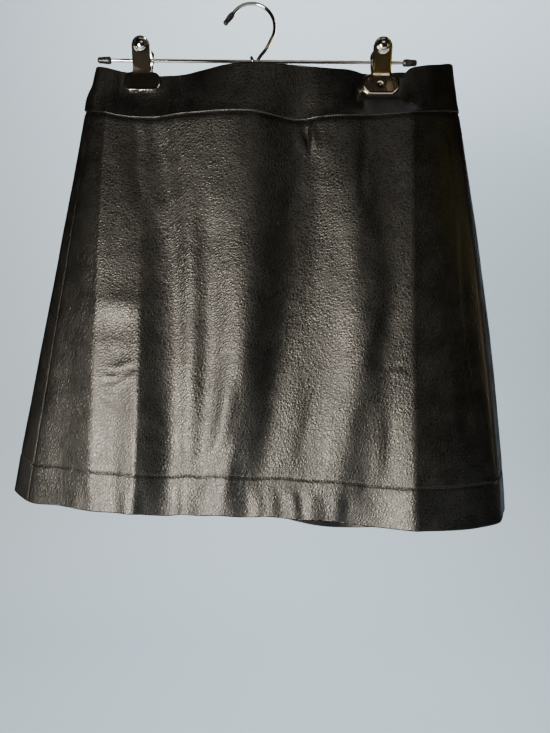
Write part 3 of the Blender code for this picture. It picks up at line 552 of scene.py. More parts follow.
@dataclass(frozen=True)
class Rims:
    """How far each edge of a piece is rounded, in millimetres."""

    top: float
    bottom: float
    sides: float


@dataclass
class Patch:
    """A stretch of the tube between seams: its grid, normals, walls and surface lengths."""

    outer: Array
    normals: Array
    walls: Array

    def lengths(self) -> tuple[Array, Array]:
        """Returns distances along the middle row and the middle column, in millimetres."""
        rows, columns = self.outer.shape[:2]
        return walked(self.outer[rows // 2]), walked(self.outer[:, columns // 2])

    def beside(self, edge: int, distance: float) -> tuple[Array, Array]:
        """Returns the points and normals at a distance from the first (0) or last (-1) column."""
        turn = slice(None, None, -1 if edge else 1)
        points, facing = [], []
        for row, outwards in zip(self.outer[:, turn], self.normals[:, turn]):
            away = walked(row)
            points.append([np.interp(distance, away, axis) for axis in row.T])
            facing.append([np.interp(distance, away, axis) for axis in outwards.T])
        return np.array(points), unit(np.array(facing))

    def inset(self, rims: Rims, gaps: Sequence[float | Array]) -> None:
        """Moves the edges in by their rounding and by the gaps top, bottom, left and right."""
        moves = (
            ((slice(None), 0), (slice(None), 1), rims.sides + gaps[2]),
            ((slice(None), -1), (slice(None), -2), rims.sides + gaps[3]),
            ((0,), (1,), rims.top + gaps[0]),
            ((-1,), (-2,), rims.bottom + gaps[1]),
        )
        for edge, inner, amount in moves:
            self.outer[edge] += amount * unit(self.outer[inner] - self.outer[edge])


def rim_profile(radius: float, wall: Array, steps: int) -> list[tuple[float, Array]]:
    """Works out the rounded edge of a wall.

    Args:
        radius: The rounding of its two corners.
        wall: The wall's thickness at each place along the edge.
        steps: Points on each corner.

    Returns:
        Pairs of the reach past the last row, in shares of the radius, and the depth inwards.
    """
    profile = []
    for i in range(1, steps + 1):
        angle = math.pi / 2 * i / steps
        profile.append((math.sin(angle), radius * (1 - math.cos(angle)) * np.ones_like(wall)))
    for i in range(steps):
        angle = math.pi / 2 * i / steps
        profile.append((math.cos(angle), wall - radius + radius * math.sin(angle)))
    return profile


def shell_mesh(name: str, patch: Patch, rims: Rims, hem_rows: int | None = None) -> Mesh:
    """Builds a closed wall with rounded edges behind a patch.

    Args:
        name: The mesh's name.
        patch: The outer face and its walls.
        rims: The rounding of the edges.
        hem_rows: Rows at the foot whose inner face is like the outer one, while the rest is
            backing; None where there is no backing.

    Returns:
        The mesh, with a UV map in metres and material 1 on its backing.
    """
    outer, normals, walls = patch.outer, patch.normals, patch.walls
    rows, columns = outer.shape[:2]
    inner = outer - normals * walls[..., None]
    index = np.arange(rows * columns).reshape(rows, columns)
    border = np.concatenate((index[0], index[1:, -1], index[-1, -2::-1], index[-2:0:-1, 0]))
    r, c = np.divmod(border, columns)
    reach = np.zeros_like(outer)
    reach[0] += rims.top * unit(outer[0] - outer[1])
    reach[-1] += rims.bottom * unit(outer[-1] - outer[-2])
    reach[:, 0] += rims.sides * unit(outer[:, 0] - outer[:, 1])
    reach[:, -1] += rims.sides * unit(outer[:, -1] - outer[:, -2])
    radius = max(rims.top, rims.bottom, rims.sides)
    edge_radius = np.where(r == 0, rims.top, np.where(r == rows - 1, rims.bottom, rims.sides))
    edge_radius = np.minimum(edge_radius, walls[r, c] / 2)
    rings = []
    for out, depth in rim_profile(radius, walls[r, c], 4)[:-1]:
        turn = edge_radius / radius
        depth = np.where(depth <= radius, depth * turn, walls[r, c] - (walls[r, c] - depth) * turn)
        rings.append(outer[r, c] + reach[r, c] * out - normals[r, c] * depth[:, None])
    points = np.concatenate((outer.reshape(-1, 3), inner.reshape(-1, 3), *rings))
    quads = np.stack((index[:-1, :-1], index[1:, :-1], index[1:, 1:], index[:-1, 1:]), axis=-1)
    front = quads.reshape(-1, 4)
    back = front[:, ::-1] + rows * columns
    loops = [border]
    first = 2 * rows * columns
    loops += [first + i * len(border) + np.arange(len(border)) for i in range(len(rings))]
    loops.append(border + rows * columns)
    strips = []
    for here, there in zip(loops, loops[1:]):
        strips.append(np.stack((here, np.roll(here, -1), np.roll(there, -1), there), axis=-1))
    faces = np.concatenate((front, back, *strips))
    mesh = bpy.data.meshes.new(name)
    mesh.from_pydata((points * MM).tolist(), [], faces.tolist())
    slots = np.zeros(len(faces), dtype=np.int32)
    if hem_rows is not None:
        slots[len(front) : len(front) + (rows - 1 - hem_rows) * (columns - 1)] = 1
    mesh.polygons.foreach_set("material_index", slots)
    mesh.shade_smooth()
    across, down = patch.lengths()
    flat = np.stack(np.meshgrid(across, down), axis=-1).reshape(-1, 2)
    places = np.concatenate((flat, flat, *([np.stack((across[c], down[r]), axis=1)] * len(rings))))
    add_uv(mesh, places * MM)
    return mesh


def add_uv(mesh: Mesh, places: Array) -> None:
    """Gives a mesh the UV map "cut" from a place for each of its vertices."""
    corners = np.empty(len(mesh.loops), dtype=np.int32)
    mesh.loops.foreach_get("vertex_index", corners)
    layer = mesh.uv_layers.new(name="cut")
    layer.data.foreach_set("uv", places[corners].astype(np.float32).ravel())


def add_values(mesh: Mesh, name: str, values: Array) -> None:
    """Gives a mesh a named number for each of its vertices."""
    layer = mesh.attributes.new(name, "FLOAT", "POINT")
    layer.data.foreach_set("value", values.astype(np.float32))


def link_object(name: str, data: bpy.types.ID) -> bpy.types.Object:
    """Makes an object at the origin from a mesh, a lamp or a camera."""
    obj = bpy.data.objects.new(name, data)
    bpy.context.scene.collection.objects.link(obj)
    return obj


def place_in_scene(name: str, mesh: Mesh, *materials: Material) -> bpy.types.Object:
    """Makes an object at the origin from a mesh and its materials."""
    for material in materials:
        mesh.materials.append(material)
    LOG.info("%s: %d faces", name, len(mesh.polygons))
    return link_object(name, mesh)


# --- shader trees ---


class Graph:
    """A node tree with short ways to add and join nodes."""

    def __init__(self, tree: Tree) -> None:
        """Takes the tree that is built."""
        self.tree = tree

    def feed(self, target: Socket, value: object) -> None:
        """Joins an input to a socket, or sets it to a plain value."""
        if isinstance(value, Socket):
            self.tree.links.new(value, target)
        else:
            target.default_value = value

    def add(self, kind: str, inputs: dict | None = None, **settings: object) -> bpy.types.Node:
        """Adds a node.

        Args:
            kind: The node's type.
            inputs: Values or sockets for its inputs, by name or by index.
            **settings: Values for its properties.

        Returns:
            The node.
        """
        node = self.tree.nodes.new(kind)
        for key, value in settings.items():
            setattr(node, key, value)
        for key, value in (inputs or {}).items():
            self.feed(node.inputs[key], value)
        return node

    def math(self, operation: str, *values: object, clamp: bool = False) -> Socket:
        """Adds a Math node over values or sockets and returns its output."""
        inputs = dict(enumerate(values))
        return self.add("ShaderNodeMath", inputs, operation=operation, use_clamp=clamp).outputs[0]

    def times(self, value: object, factor: object) -> Socket:
        """Returns a value times a factor."""
        return self.math("MULTIPLY", value, factor)

    def total(self, *parts: tuple[object, object], clamp: bool = False) -> Socket:
        """Returns the sum of values that each come with a weight, kept in 0..1 if clamped."""
        result, *others = [self.times(value, weight) for value, weight in parts]
        for other in others:
            result = self.math("ADD", result, other, clamp=clamp)
        return result

    def vector(self, operation: str, inputs: dict) -> Socket:
        """Adds a Vector Math node and returns its output."""
        return self.add("ShaderNodeVectorMath", inputs, operation=operation).outputs[0]

    def ramp(self, value: Socket, low: float, high: float, ends: Pair = (0.0, 1.0)) -> Socket:
        """Adds a smooth Map Range from low..high to the two ends and returns its output."""
        inputs = {0: value, 1: low, 2: high, 3: ends[0], 4: ends[1]}
        return self.add("ShaderNodeMapRange", inputs, interpolation_type="SMOOTHSTEP").outputs[0]

    def mix(self, share: object, first: object, second: object) -> Socket:
        """Adds a colour Mix node and returns its output."""
        inputs = {0: share, 6: first, 7: second}
        return self.add("ShaderNodeMix", inputs, data_type="RGBA", blend_type="MIX").outputs[2]

    def noise(self, place: Socket, scale: object, detail: float, roughness: float = 0.5) -> bpy.types.Node:
        """Adds a noise texture and returns its node."""
        inputs = {"Vector": place, "Scale": scale, "Detail": detail, "Roughness": roughness}
        return self.add("ShaderNodeTexNoise", inputs)

    def group(self, tree: Tree, **inputs: object) -> bpy.types.Node:
        """Places a node group, with its inputs by name (_ stands for a space)."""
        named = {key.replace("_", " "): value for key, value in inputs.items()}
        return self.add("ShaderNodeGroup", named, node_tree=tree)


class Paint(Graph):
    """A new material's node tree, which ends in a Principled BSDF."""

    def __init__(self, name: str) -> None:
        """Starts the material."""
        self.material = bpy.data.materials.new(name)
        self.material.use_nodes = True
        super().__init__(self.material.node_tree)

    def place(self) -> Socket:
        """Returns the object's own coordinates."""
        return self.add("ShaderNodeTexCoord").outputs["Object"]

    def cut(self) -> Socket:
        """Returns the places on the cut piece, in metres."""
        return self.add("ShaderNodeUVMap", uv_map="cut").outputs[0]

    def relief(self, height: Socket, depth: float) -> Socket:
        """Returns the normals of a height of 0..1 over a depth in millimetres."""
        return self.add("ShaderNodeBump", {"Height": height, "Distance": depth * MM}).outputs[0]

    def finish(self, inputs: dict[str, object]) -> Material:
        """Feeds the Principled BSDF's inputs by name and returns the material."""
        shader = self.tree.nodes["Principled BSDF"]
        for name, value in inputs.items():
            self.feed(shader.inputs[name], value)
        return self.material


FLOAT, VECTOR = "NodeSocketFloat", "NodeSocketVector"


def new_group(
    name: str, inputs: Iterable[tuple[str, str, object]], outputs: Iterable[str]
) -> tuple[Graph, bpy.types.NodeOutputs, bpy.types.NodeInputs]:
    """Starts a shader node group.

    Args:
        name: The group's name.
        inputs: Name, socket type and default value of each input.
        outputs: The name of each output, which is a number.

    Returns:
        The group's graph, the sockets that bring its inputs and those that take its outputs.
    """
    tree = bpy.data.node_groups.new(name, "ShaderNodeTree")
    for label, kind, value in inputs:
        socket = tree.interface.new_socket(label, in_out="INPUT", socket_type=kind)
        if value is not None:
            socket.default_value = value
    for label in outputs:
        tree.interface.new_socket(label, in_out="OUTPUT", socket_type=FLOAT)
    graph = Graph(tree)
    return graph, graph.add("NodeGroupInput").outputs, graph.add("NodeGroupOutput").inputs


def build_grain_group() -> Tree:
    """Builds the pebbled grain of leather and moulded vinyl.

    Returns:
        The group: a height from 0 to 1 and a mask of the valleys between pebbles.
    """
    inputs = (("Vector", VECTOR, None), ("Pebble", FLOAT, 0.0011), ("Unevenness", FLOAT, 0.3))
    graph, source, result = new_group("pebbled_grain", inputs, ("Height", "Valleys"))
    scale = graph.math("DIVIDE", 1.0, source["Pebble"])
    cloud = graph.noise(source["Vector"], graph.times(scale, 0.35), 2.0).outputs["Color"]
    shift = graph.vector("SUBTRACT", {0: cloud, 1: (0.5, 0.5, 0.5)})
    moved = graph.vector("SCALE", {0: shift, "Scale": graph.times(source["Pebble"], 1.4)})
    place = graph.vector("ADD", {0: source["Vector"], 1: moved})
    cells = graph.add("ShaderNodeTexVoronoi", {"Vector": place, "Scale": scale}, feature="DISTANCE_TO_EDGE")
    edge = cells.outputs["Distance"]
    fine = graph.noise(place, graph.times(scale, 2.3), 3.0).outputs["Fac"]
    height = graph.total((graph.ramp(edge, 0.0, 0.4), 0.7), (fine, source["Unevenness"]))
    graph.feed(result["Height"], height)
    graph.feed(result["Valleys"], graph.ramp(edge, 0.17, 0.03))
    return graph.tree


def build_handling_group() -> Tree:
    """Builds the smudges and fine scratches of handled metal and vinyl.

    Returns:
        The group: a mask of smudges and a mask of scratches.
    """
    inputs = (("Vector", VECTOR, None), ("Smudge Size", FLOAT, 0.012), ("Scratch Size", FLOAT, 0.003))
    graph, source, result = new_group("handling_marks", inputs, ("Smudges", "Scratches"))
    cloud = graph.noise(source["Vector"], graph.math("DIVIDE", 1.0, source["Smudge Size"]), 4.0)
    stretch = {"Vector": source["Vector"], "Scale": (1.0, 1.0, 0.12), "Rotation": (0.3, 0.2, 0.5)}
    stretched = graph.add("ShaderNodeMapping", stretch).outputs[0]
    lines = graph.noise(stretched, graph.math("DIVIDE", 1.0, source["Scratch Size"]), 5.0, 0.7)
    graph.feed(result["Smudges"], graph.ramp(cloud.outputs["Fac"], 0.42, 0.68))
    graph.feed(result["Scratches"], graph.ramp(lines.outputs["Fac"], 0.6, 0.74))
    return graph.tree


def build_weave_group() -> Tree:
    """Builds a plain weave over places in metres.

    Returns:
        The group: a height from 0 to 1 and a mask of the gaps between threads.
    """
    inputs = (("Vector", VECTOR, None), ("Warp", FLOAT, 0.0006), ("Weft", FLOAT, 0.0005))
    graph, source, result = new_group("plain_weave", inputs, ("Height", "Gaps"))
    split = graph.add("ShaderNodeSeparateXYZ", {0: source["Vector"]}).outputs
    across = graph.times(graph.math("DIVIDE", split[0], source["Warp"]), math.pi)
    down = graph.times(graph.math("DIVIDE", split[1], source["Weft"]), math.pi)

    def hump(wave: str, turns: Socket) -> Socket:
        """Returns how far a wave stands from its middle."""
        return graph.math("ABSOLUTE", graph.math(wave, turns))

    over = graph.times(hump("SINE", across), hump("COSINE", graph.times(down, 0.5)))
    under = graph.times(hump("SINE", down), hump("COSINE", graph.times(across, 0.5)))
    height = graph.math("MAXIMUM", over, under)
    graph.feed(result["Height"], height)
    graph.feed(result["Gaps"], graph.ramp(height, 0.45, 0.1))
    return graph.tree


@dataclass(frozen=True)
class Shaders:
    """The node groups that the finishes share."""

    grain: Tree
    handling: Tree
    weave: Tree


def painted_light_tone(colour: Colour, factor: float) -> Colour:
    """Returns a darker copy of a colour for painted shade, or a paler one for a painted highlight."""
    return tuple(min(1.0, factor * value) for value in colour[:3]) + (1.0,)


@dataclass(frozen=True)
class LeatherFinish:
    """Black grained leather with a low gloss, paler where it is rubbed and with painted shade in its grain's
    valleys.
    """

    name: str = "black_leather"
    deep: Colour = (0.0008, 0.00075, 0.0007, 1.0)
    # The paler colour of rubbed leather, which painted shade keeps out of the grain's valleys.
    wear_and_valley_shade: Colour = (0.0036, 0.0032, 0.0027, 1.0)
    olive: Colour = (0.0008, 0.0011, 0.0007, 1.0)
    roughness: Pair = (0.28, 0.36)
    valley_roughness: float = 0.14
    specular: float = 0.7
    pebble: float = 2.1
    pebble_stretch: float = 1.7
    pebble_rise: float = 0.18
    wrinkle: tuple[float, float, float] = (1.3, 1.3, 4.5)
    wrinkle_lean: float = 0.78
    wrinkle_rise: float = 0.16
    mottle_rise: float = 0.2

    def build(self, shaders: Shaders) -> Material:
        """Builds the material.

        Args:
            shaders: The shared node groups.

        Returns:
            The material.
        """
        paint = Paint(self.name)
        place = paint.place()

        def leaning(scale: tuple[float, ...]) -> Socket:
            """Returns the places in a frame that leans with the leather's grain."""
            inputs = {"Vector": place, "Rotation": (0.0, self.wrinkle_lean, 0.0), "Scale": scale}
            return paint.add("ShaderNodeMapping", inputs, vector_type="TEXTURE").outputs[0]

        pebbles = {"Vector": leaning((1.0, 1.0, self.pebble_stretch)), "Pebble": self.pebble * MM}
        grain = paint.group(shaders.grain, Unevenness=0.35, **pebbles).outputs
        patch = paint.ramp(paint.noise(place, 42.0, 5.0, 0.6).outputs["Fac"], 0.3, 0.7)
        mottle = paint.noise(place, 105.0, 3.0, 0.55).outputs["Fac"]
        wrinkle_noise = paint.noise(leaning(tuple(value * MM for value in self.wrinkle)), 1.0, 3.0, 0.6)
        wrinkle_noise.inputs["Distortion"].default_value = 0.4
        wrinkles = wrinkle_noise.outputs["Fac"]
        rub = paint.add("ShaderNodeAttribute", attribute_name="rubbed").outputs["Fac"]
        # Share of the paler colour: random patches and rubs, less 0.3 of the grain's valleys as painted shade
        # between the pebbles.
        wear_and_valley_shade = paint.total((patch, 0.45), (rub, 1.0), (grain["Valleys"], -0.3), clamp=True)
        tinted = paint.mix(paint.ramp(mottle, 0.4, 0.6), self.deep, self.olive)
        gloss = paint.total((patch, 0.35), (mottle, 0.3), (wrinkles, 0.35))
        rough = paint.ramp(gloss, 0.3, 0.7, self.roughness)
        height = paint.total(
            (grain["Height"], self.pebble_rise), (wrinkles, self.wrinkle_rise), (mottle, self.mottle_rise)
        )
        return paint.finish({
            "Base Color": paint.mix(wear_and_valley_shade, tinted, self.wear_and_valley_shade),
            "Roughness": paint.total((rough, 1.0), (grain["Valleys"], self.valley_roughness)),
            "Normal": paint.relief(height, 1.0),
            "Specular IOR Level": self.specular,
        })


@dataclass(frozen=True)
class BackingFinish:
    """The knitted cloth on the leather's inner side."""

    name: str = "knit_backing"
    colour: Colour = (0.055, 0.05, 0.046, 1.0)
    thread: float = 0.7

    def build(self, shaders: Shaders) -> Material:
        """Builds the material from the shared node groups and returns it."""
        paint = Paint(self.name)
        thread = self.thread * MM
        weave = paint.group(shaders.weave, Vector=paint.cut(), Warp=thread, Weft=thread).outputs
        return paint.finish({
            # The gaps between the threads are darker: painted shade.
            "Base Color": paint.mix(weave["Gaps"], self.colour, painted_light_tone(self.colour, 0.45)),
            "Roughness": 0.9,
            "Normal": paint.relief(weave["Height"], 0.12),
        })


@dataclass(frozen=True)
class WovenFinish:
    """Woven polyester, as of a zip's tape."""

    name: str
    colour: Colour
    warp: float = 0.6
    weft: float = 0.45

    def build(self, shaders: Shaders) -> Material:
        """Builds the material from the shared node groups and returns it."""
        paint = Paint(self.name)
        threads = {"Warp": self.warp * MM, "Weft": self.weft * MM}
        weave = paint.group(shaders.weave, Vector=paint.cut(), **threads).outputs
        return paint.finish({
            # The raised threads are paler than the gaps: a painted highlight on their crowns.
            "Base Color": paint.mix(weave["Height"], self.colour, painted_light_tone(self.colour, 1.8)),
            "Roughness": 0.7,
            "Sheen Weight": 0.2,
            "Normal": paint.relief(weave["Height"], 0.1),
        })


@dataclass(frozen=True)
class ThreadFinish:
    """Twisted sewing thread."""

    name: str = "black_thread"
    colour: Colour = (0.003, 0.0027, 0.0025, 1.0)
    twist: float = 0.35

    def build(self) -> Material:
        """Builds the material and returns it."""
        paint = Paint(self.name)
        turned = paint.add("ShaderNodeMapping", {"Vector": paint.place(), "Rotation": (0.0, 0.7, 0.0)})
        inputs = {"Vector": turned.outputs[0], "Scale": 0.3 / (self.twist * MM), "Distortion": 0.5}
        ply = paint.add("ShaderNodeTexWave", inputs).outputs["Fac"]
        return paint.finish({
            # The ply's ridges are paler: a painted sheen along the twist.
            "Base Color": paint.mix(ply, self.colour, painted_light_tone(self.colour, 2.5)),
            "Roughness": 0.6,
            "Normal": paint.relief(ply, 0.05),
        })


@dataclass(frozen=True)
class MetalFinish:
    """Plated metal with smudges and fine scratches."""

    name: str
    colour: Colour
    stain: Colour
    roughness: Pair = (0.07, 0.22)
    smudge: float = 11.0
    scratch: float = 2.5

    def build(self, shaders: Shaders) -> Material:
        """Builds the material from the shared node groups and returns it."""
        paint = Paint(self.name)
        sizes = {"Smudge_Size": self.smudge * MM, "Scratch_Size": self.scratch * MM}
        marks = paint.group(shaders.handling, Vector=paint.place(), **sizes).outputs
        dull = paint.total((marks["Smudges"], 0.6), (marks["Scratches"], 0.5), clamp=True)
        return paint.finish({
            "Base Color": paint.mix(marks["Smudges"], self.colour, self.stain),
            "Roughness": paint.ramp(dull, 0.0, 1.0, self.roughness),
            "Normal": paint.relief(marks["Scratches"], 0.01),
            "Metallic": 1.0,
        })


@dataclass(frozen=True)
class VinylFinish:
    """Black dipped vinyl."""

    name: str = "black_vinyl"
    colour: Colour = (0.011, 0.011, 0.012, 1.0)
    faded: Colour = (0.03, 0.03, 0.031, 1.0)
    roughness: Pair = (0.26, 0.42)

    def build(self, shaders: Shaders) -> Material:
        """Builds the material from the shared node groups and returns it."""
        paint = Paint(self.name)
        place = paint.place()
        sizes = {"Smudge_Size": 4 * MM, "Scratch_Size": 1.5 * MM}
        smudges = paint.group(shaders.handling, Vector=place, **sizes).outputs["Smudges"]
        grain = paint.group(shaders.grain, Vector=place, Pebble=0.6 * MM, Unevenness=0.5)
        return paint.finish({
            "Base Color": paint.mix(smudges, self.colour, self.faded),
            "Roughness": paint.ramp(smudges, 0.0, 1.0, self.roughness),
            "Normal": paint.relief(grain.outputs["Height"], 0.03),
        })


@dataclass(frozen=True)
class Finishes:
    """All the materials of the skirt and its hanger."""

    leather: Material
    backing: Material
    tape: Material
    thread: Material
    chrome: Material
    warm_reflection_chrome: Material
    zip_metal: Material
    vinyl: Material
    nylon: Material


def build_finishes() -> Finishes:
    """Builds the shared groups and all the materials."""
    shaders = Shaders(build_grain_group(), build_handling_group(), build_weave_group())
    chrome = MetalFinish("chrome", (0.80, 0.79, 0.77, 1.0), (0.62, 0.59, 0.55, 1.0))
    # The right clip's plating is the left's chrome; this copy is tinted warm, with brass-yellow smudges, as a
    # painted warm reflection.
    warm_reflection_chrome = MetalFinish("chrome_worn_to_brass", (0.78, 0.74, 0.66, 1.0), (0.66, 0.52, 0.28, 1.0))
    black_nickel = MetalFinish("black_nickel", (0.10, 0.10, 0.105, 1.0), (0.05, 0.05, 0.05, 1.0), (0.2, 0.35))
    return Finishes(
        leather=LeatherFinish().build(shaders),
        backing=BackingFinish().build(shaders),
        tape=WovenFinish("zip_tape_cloth", (0.012, 0.012, 0.013, 1.0)).build(shaders),
        thread=ThreadFinish().build(),
        chrome=chrome.build(shaders),
        warm_reflection_chrome=warm_reflection_chrome.build(shaders),
        zip_metal=black_nickel.build(shaders),
        vinyl=VinylFinish().build(shaders),
        nylon=VinylFinish("black_nylon", (0.02, 0.02, 0.021, 1.0), (0.04, 0.04, 0.04, 1.0)).build(shaders),
    )


# --- turned, bent and stamped shapes ---


def smooth_path(points: Array, step: float) -> Array:
    """Returns points about step apart on a smooth open curve through the given ones."""
    points = np.array(points, float)
    chords = np.linalg.norm(np.diff(points, axis=0), axis=1)
    tangents = unit(np.gradient(points, walked(points), axis=0))
    path = []
    for i, chord in enumerate(chords):
        t = np.linspace(0, 1, max(1, round(chord / step)), endpoint=False)[:, None]
        slopes = chord * tangents[i : i + 2]
        path.append(bend(t, points[i], points[i + 1], *slopes))
    return np.vstack((*path, points[-1]))


def loops_mesh(
    name: str,
    loops: Sequence[Array],
    ends: Sequence[Sequence[float]] | None = None,
    place: Matrix | None = None,
) -> Mesh:
    """Skins a row of closed loops.

    Args:
        name: The mesh's name.
        loops: Loops with equal counts, each counterclockwise seen from the first one's side.
        ends: The poles that close the two ends; without them the last loop meets the first.
        place: Where the loops' own frame stands, in millimetres.

    Returns:
        The closed mesh, shaded smooth but for its corners.
    """
    count = len(loops[0])
    points = np.concatenate([*loops, np.array(ends or np.zeros((0, 3)), float)])
    if place is not None:
        turn = np.array(place.to_3x3())
        points = points @ turn.T + np.array(place.translation)
    rings = np.arange(len(loops) * count).reshape(len(loops), count)
    heres = rings if ends is None else rings[:-1]
    theres = np.roll(rings, -1, axis=0)[: len(heres)]
    quads = (heres, theres, np.roll(theres, -1, axis=1), np.roll(heres, -1, axis=1))
    faces = np.stack(quads, axis=-1).reshape(-1, 4).tolist()
    if ends is not None:
        first, last = rings[0], rings[-1]
        pole = len(points) - 2
        faces += [(pole, a, b) for a, b in zip(first.tolist(), np.roll(first, -1).tolist())]
        faces += [(pole + 1, b, a) for a, b in zip(last.tolist(), np.roll(last, -1).tolist())]
    mesh = bpy.data.meshes.new(name)
    mesh.from_pydata((points * MM).tolist(), [], faces)
    mesh.shade_smooth()
    mesh.set_sharp_from_angle(angle=math.radians(50))
    return mesh


def turned_mesh(
    name: str, profile: Sequence[Pair], place: Matrix, steps: int = 32
) -> Mesh:
    """Turns a profile of (radius, height) points that starts and ends on the axis.

    Args:
        name: The mesh's name.
        profile: The points, from the top pole round the outside.
        place: The axis's frame, in millimetres.
        steps: Faces round the axis.

    Returns:
        The mesh.
    """
    angles = np.linspace(0, 2 * math.pi, steps, endpoint=False)
    ring = np.stack((np.cos(angles), np.sin(angles), 0 * angles), axis=1)
    loops = [ring * radius + (0.0, 0.0, height) for radius, height in profile[1:-1]]
    ends = [(0.0, 0.0, profile[0][1]), (0.0, 0.0, profile[-1][1])]
    return loops_mesh(name, loops, ends, place)


def wire_mesh(name: str, path: Array, radius: float, sides: int = 24) -> Mesh:
    """Sweeps a round wire along a path and closes it with slightly domed ends."""
    tangents = unit(np.gradient(path, axis=0))
    angles = np.linspace(0, -2 * math.pi, sides, endpoint=False)[:, None]
    side = np.cross(tangents[0], (0.31, 0.93, 0.2))
    loops = []
    for point, along in zip(path, tangents):
        side = unit(side - along * (side @ along))
        ring = np.cos(angles) * side + np.sin(angles) * np.cross(along, side)
        loops.append(point + ring * radius)
    for index, sign in ((0, -1), (-1, 1)):
        domed = path[index] + (loops[index] - path[index]) * 0.8 + sign * tangents[index] * 0.2 * radius
        loops.insert(0 if index == 0 else len(loops), domed)
    ends = [path[0] - tangents[0] * 0.25 * radius, path[-1] + tangents[-1] * 0.25 * radius]
    return loops_mesh(name, loops, ends)


def offset_outline(outline: Array, amount: float) -> Array:
    """Moves the points of a counterclockwise outline inwards."""
    after = unit(np.roll(outline, -1, axis=0) - outline)
    along = unit(after + np.roll(after, 1, axis=0))
    inwards = np.stack((-along[:, 1], along[:, 0]), axis=1)
    spread = np.maximum((along * after).sum(axis=1, keepdims=True), 0.5)
    return outline + inwards * amount / spread


def stamped_mesh(
    name: str, outer: Array, hole: Array | None, wall: float, rounding: float, place: Matrix
) -> Mesh:
    """Makes a flat plate with rounded edges.

    Args:
        name: The mesh's name.
        outer: The outline, counterclockwise.
        hole: The hole's outline, counterclockwise, with as many points; or None.
        wall: The plate's thickness.
        rounding: The radius of its edges.
        place: The plate's frame: its outline's axes and its upward one, in millimetres.

    Returns:
        The mesh.
    """
    half = wall / 2 - rounding
    angles = [math.radians(angle) for angle in (90, 60, 30, 0)]
    section = [(rounding * (1 - math.cos(a)), half + rounding * math.sin(a)) for a in angles]
    section += [(inset, -height) for inset, height in reversed(section)]

    def loop(outline: Array, inset: float, height: float) -> Array:
        """Returns the outline moved in by inset, at a height."""
        flat = offset_outline(outline, inset)
        return np.column_stack((flat, np.full(len(flat), height)))

    loops = [loop(outer, inset, height) for inset, height in section]
    if hole is None:
        middle = outer.mean(axis=0)
        return loops_mesh(name, loops, [(*middle, wall / 2), (*middle, -wall / 2)], place)
    loops += [loop(hole, -inset, height) for inset, height in reversed(section)]
    return loops_mesh(name, loops, None, place)


def joined_mesh(name: str, meshes: Sequence[Mesh]) -> Mesh:
    """Joins meshes into one and removes them."""
    joined = bmesh.new()
    for mesh in meshes:
        joined.from_mesh(mesh)
    result = bpy.data.meshes.new(name)
    joined.to_mesh(result)
    joined.free()
    for mesh in meshes:
        bpy.data.meshes.remove(mesh)
    return result


def frame_matrix(
    x: Sequence[float], y: Sequence[float], z: Sequence[float], origin: Sequence[float]
) -> Matrix:
    """Returns the frame with the given axes and origin."""
    matrix = Matrix((x, y, z)).transposed().to_4x4()
    matrix.translation = Vector(origin)
    return matrix


def facing_matrix(way: Vector, origin: Vector) -> Matrix:
    """Returns a frame at an origin whose Z axis points one way."""
    matrix = way.to_track_quat("Z", "Y").to_matrix().to_4x4()
    matrix.translation = origin
    return matrix


def dress(
    name: str,
    mesh: Mesh,
    slot: str,
    nodes: Sequence[str],
    *materials: Material,
    body: str = "skirt",
) -> bpy.types.Object:
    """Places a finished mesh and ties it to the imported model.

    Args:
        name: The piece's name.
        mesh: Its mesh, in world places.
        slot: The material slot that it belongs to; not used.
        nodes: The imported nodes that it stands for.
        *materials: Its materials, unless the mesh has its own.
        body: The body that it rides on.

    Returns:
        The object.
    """
    obj = place_in_scene(name, mesh, *materials)
    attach(obj, body)
    if nodes:
        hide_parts(*nodes)
    return obj


# --- patterns of small pieces ---


@dataclass(frozen=True)
class GuideLine:
    """A line on a surface: its points, the outward directions and the way each piece lies."""

    points: Array
    outwards: Array
    along: Array


def guide_mesh(name: str, lines: Sequence[GuideLine]) -> Mesh:
    """Puts lines into a mesh of loose edges, with their directions as attributes."""
    firsts = np.cumsum([0] + [len(line.points) for line in lines])
    edges = [(i, i + 1) for a, b in zip(firsts, firsts[1:]) for i in range(a, b - 1)]
    mesh = bpy.data.meshes.new(name)
    mesh.from_pydata((np.vstack([line.points for line in lines]) * MM).tolist(), edges, [])
    for label in ("outwards", "along"):
        layer = mesh.attributes.new(label, "FLOAT_VECTOR", "POINT")
        values = np.vstack([getattr(line, label) for line in lines])
        layer.data.foreach_set("vector", values.astype(np.float32).ravel())
    return mesh


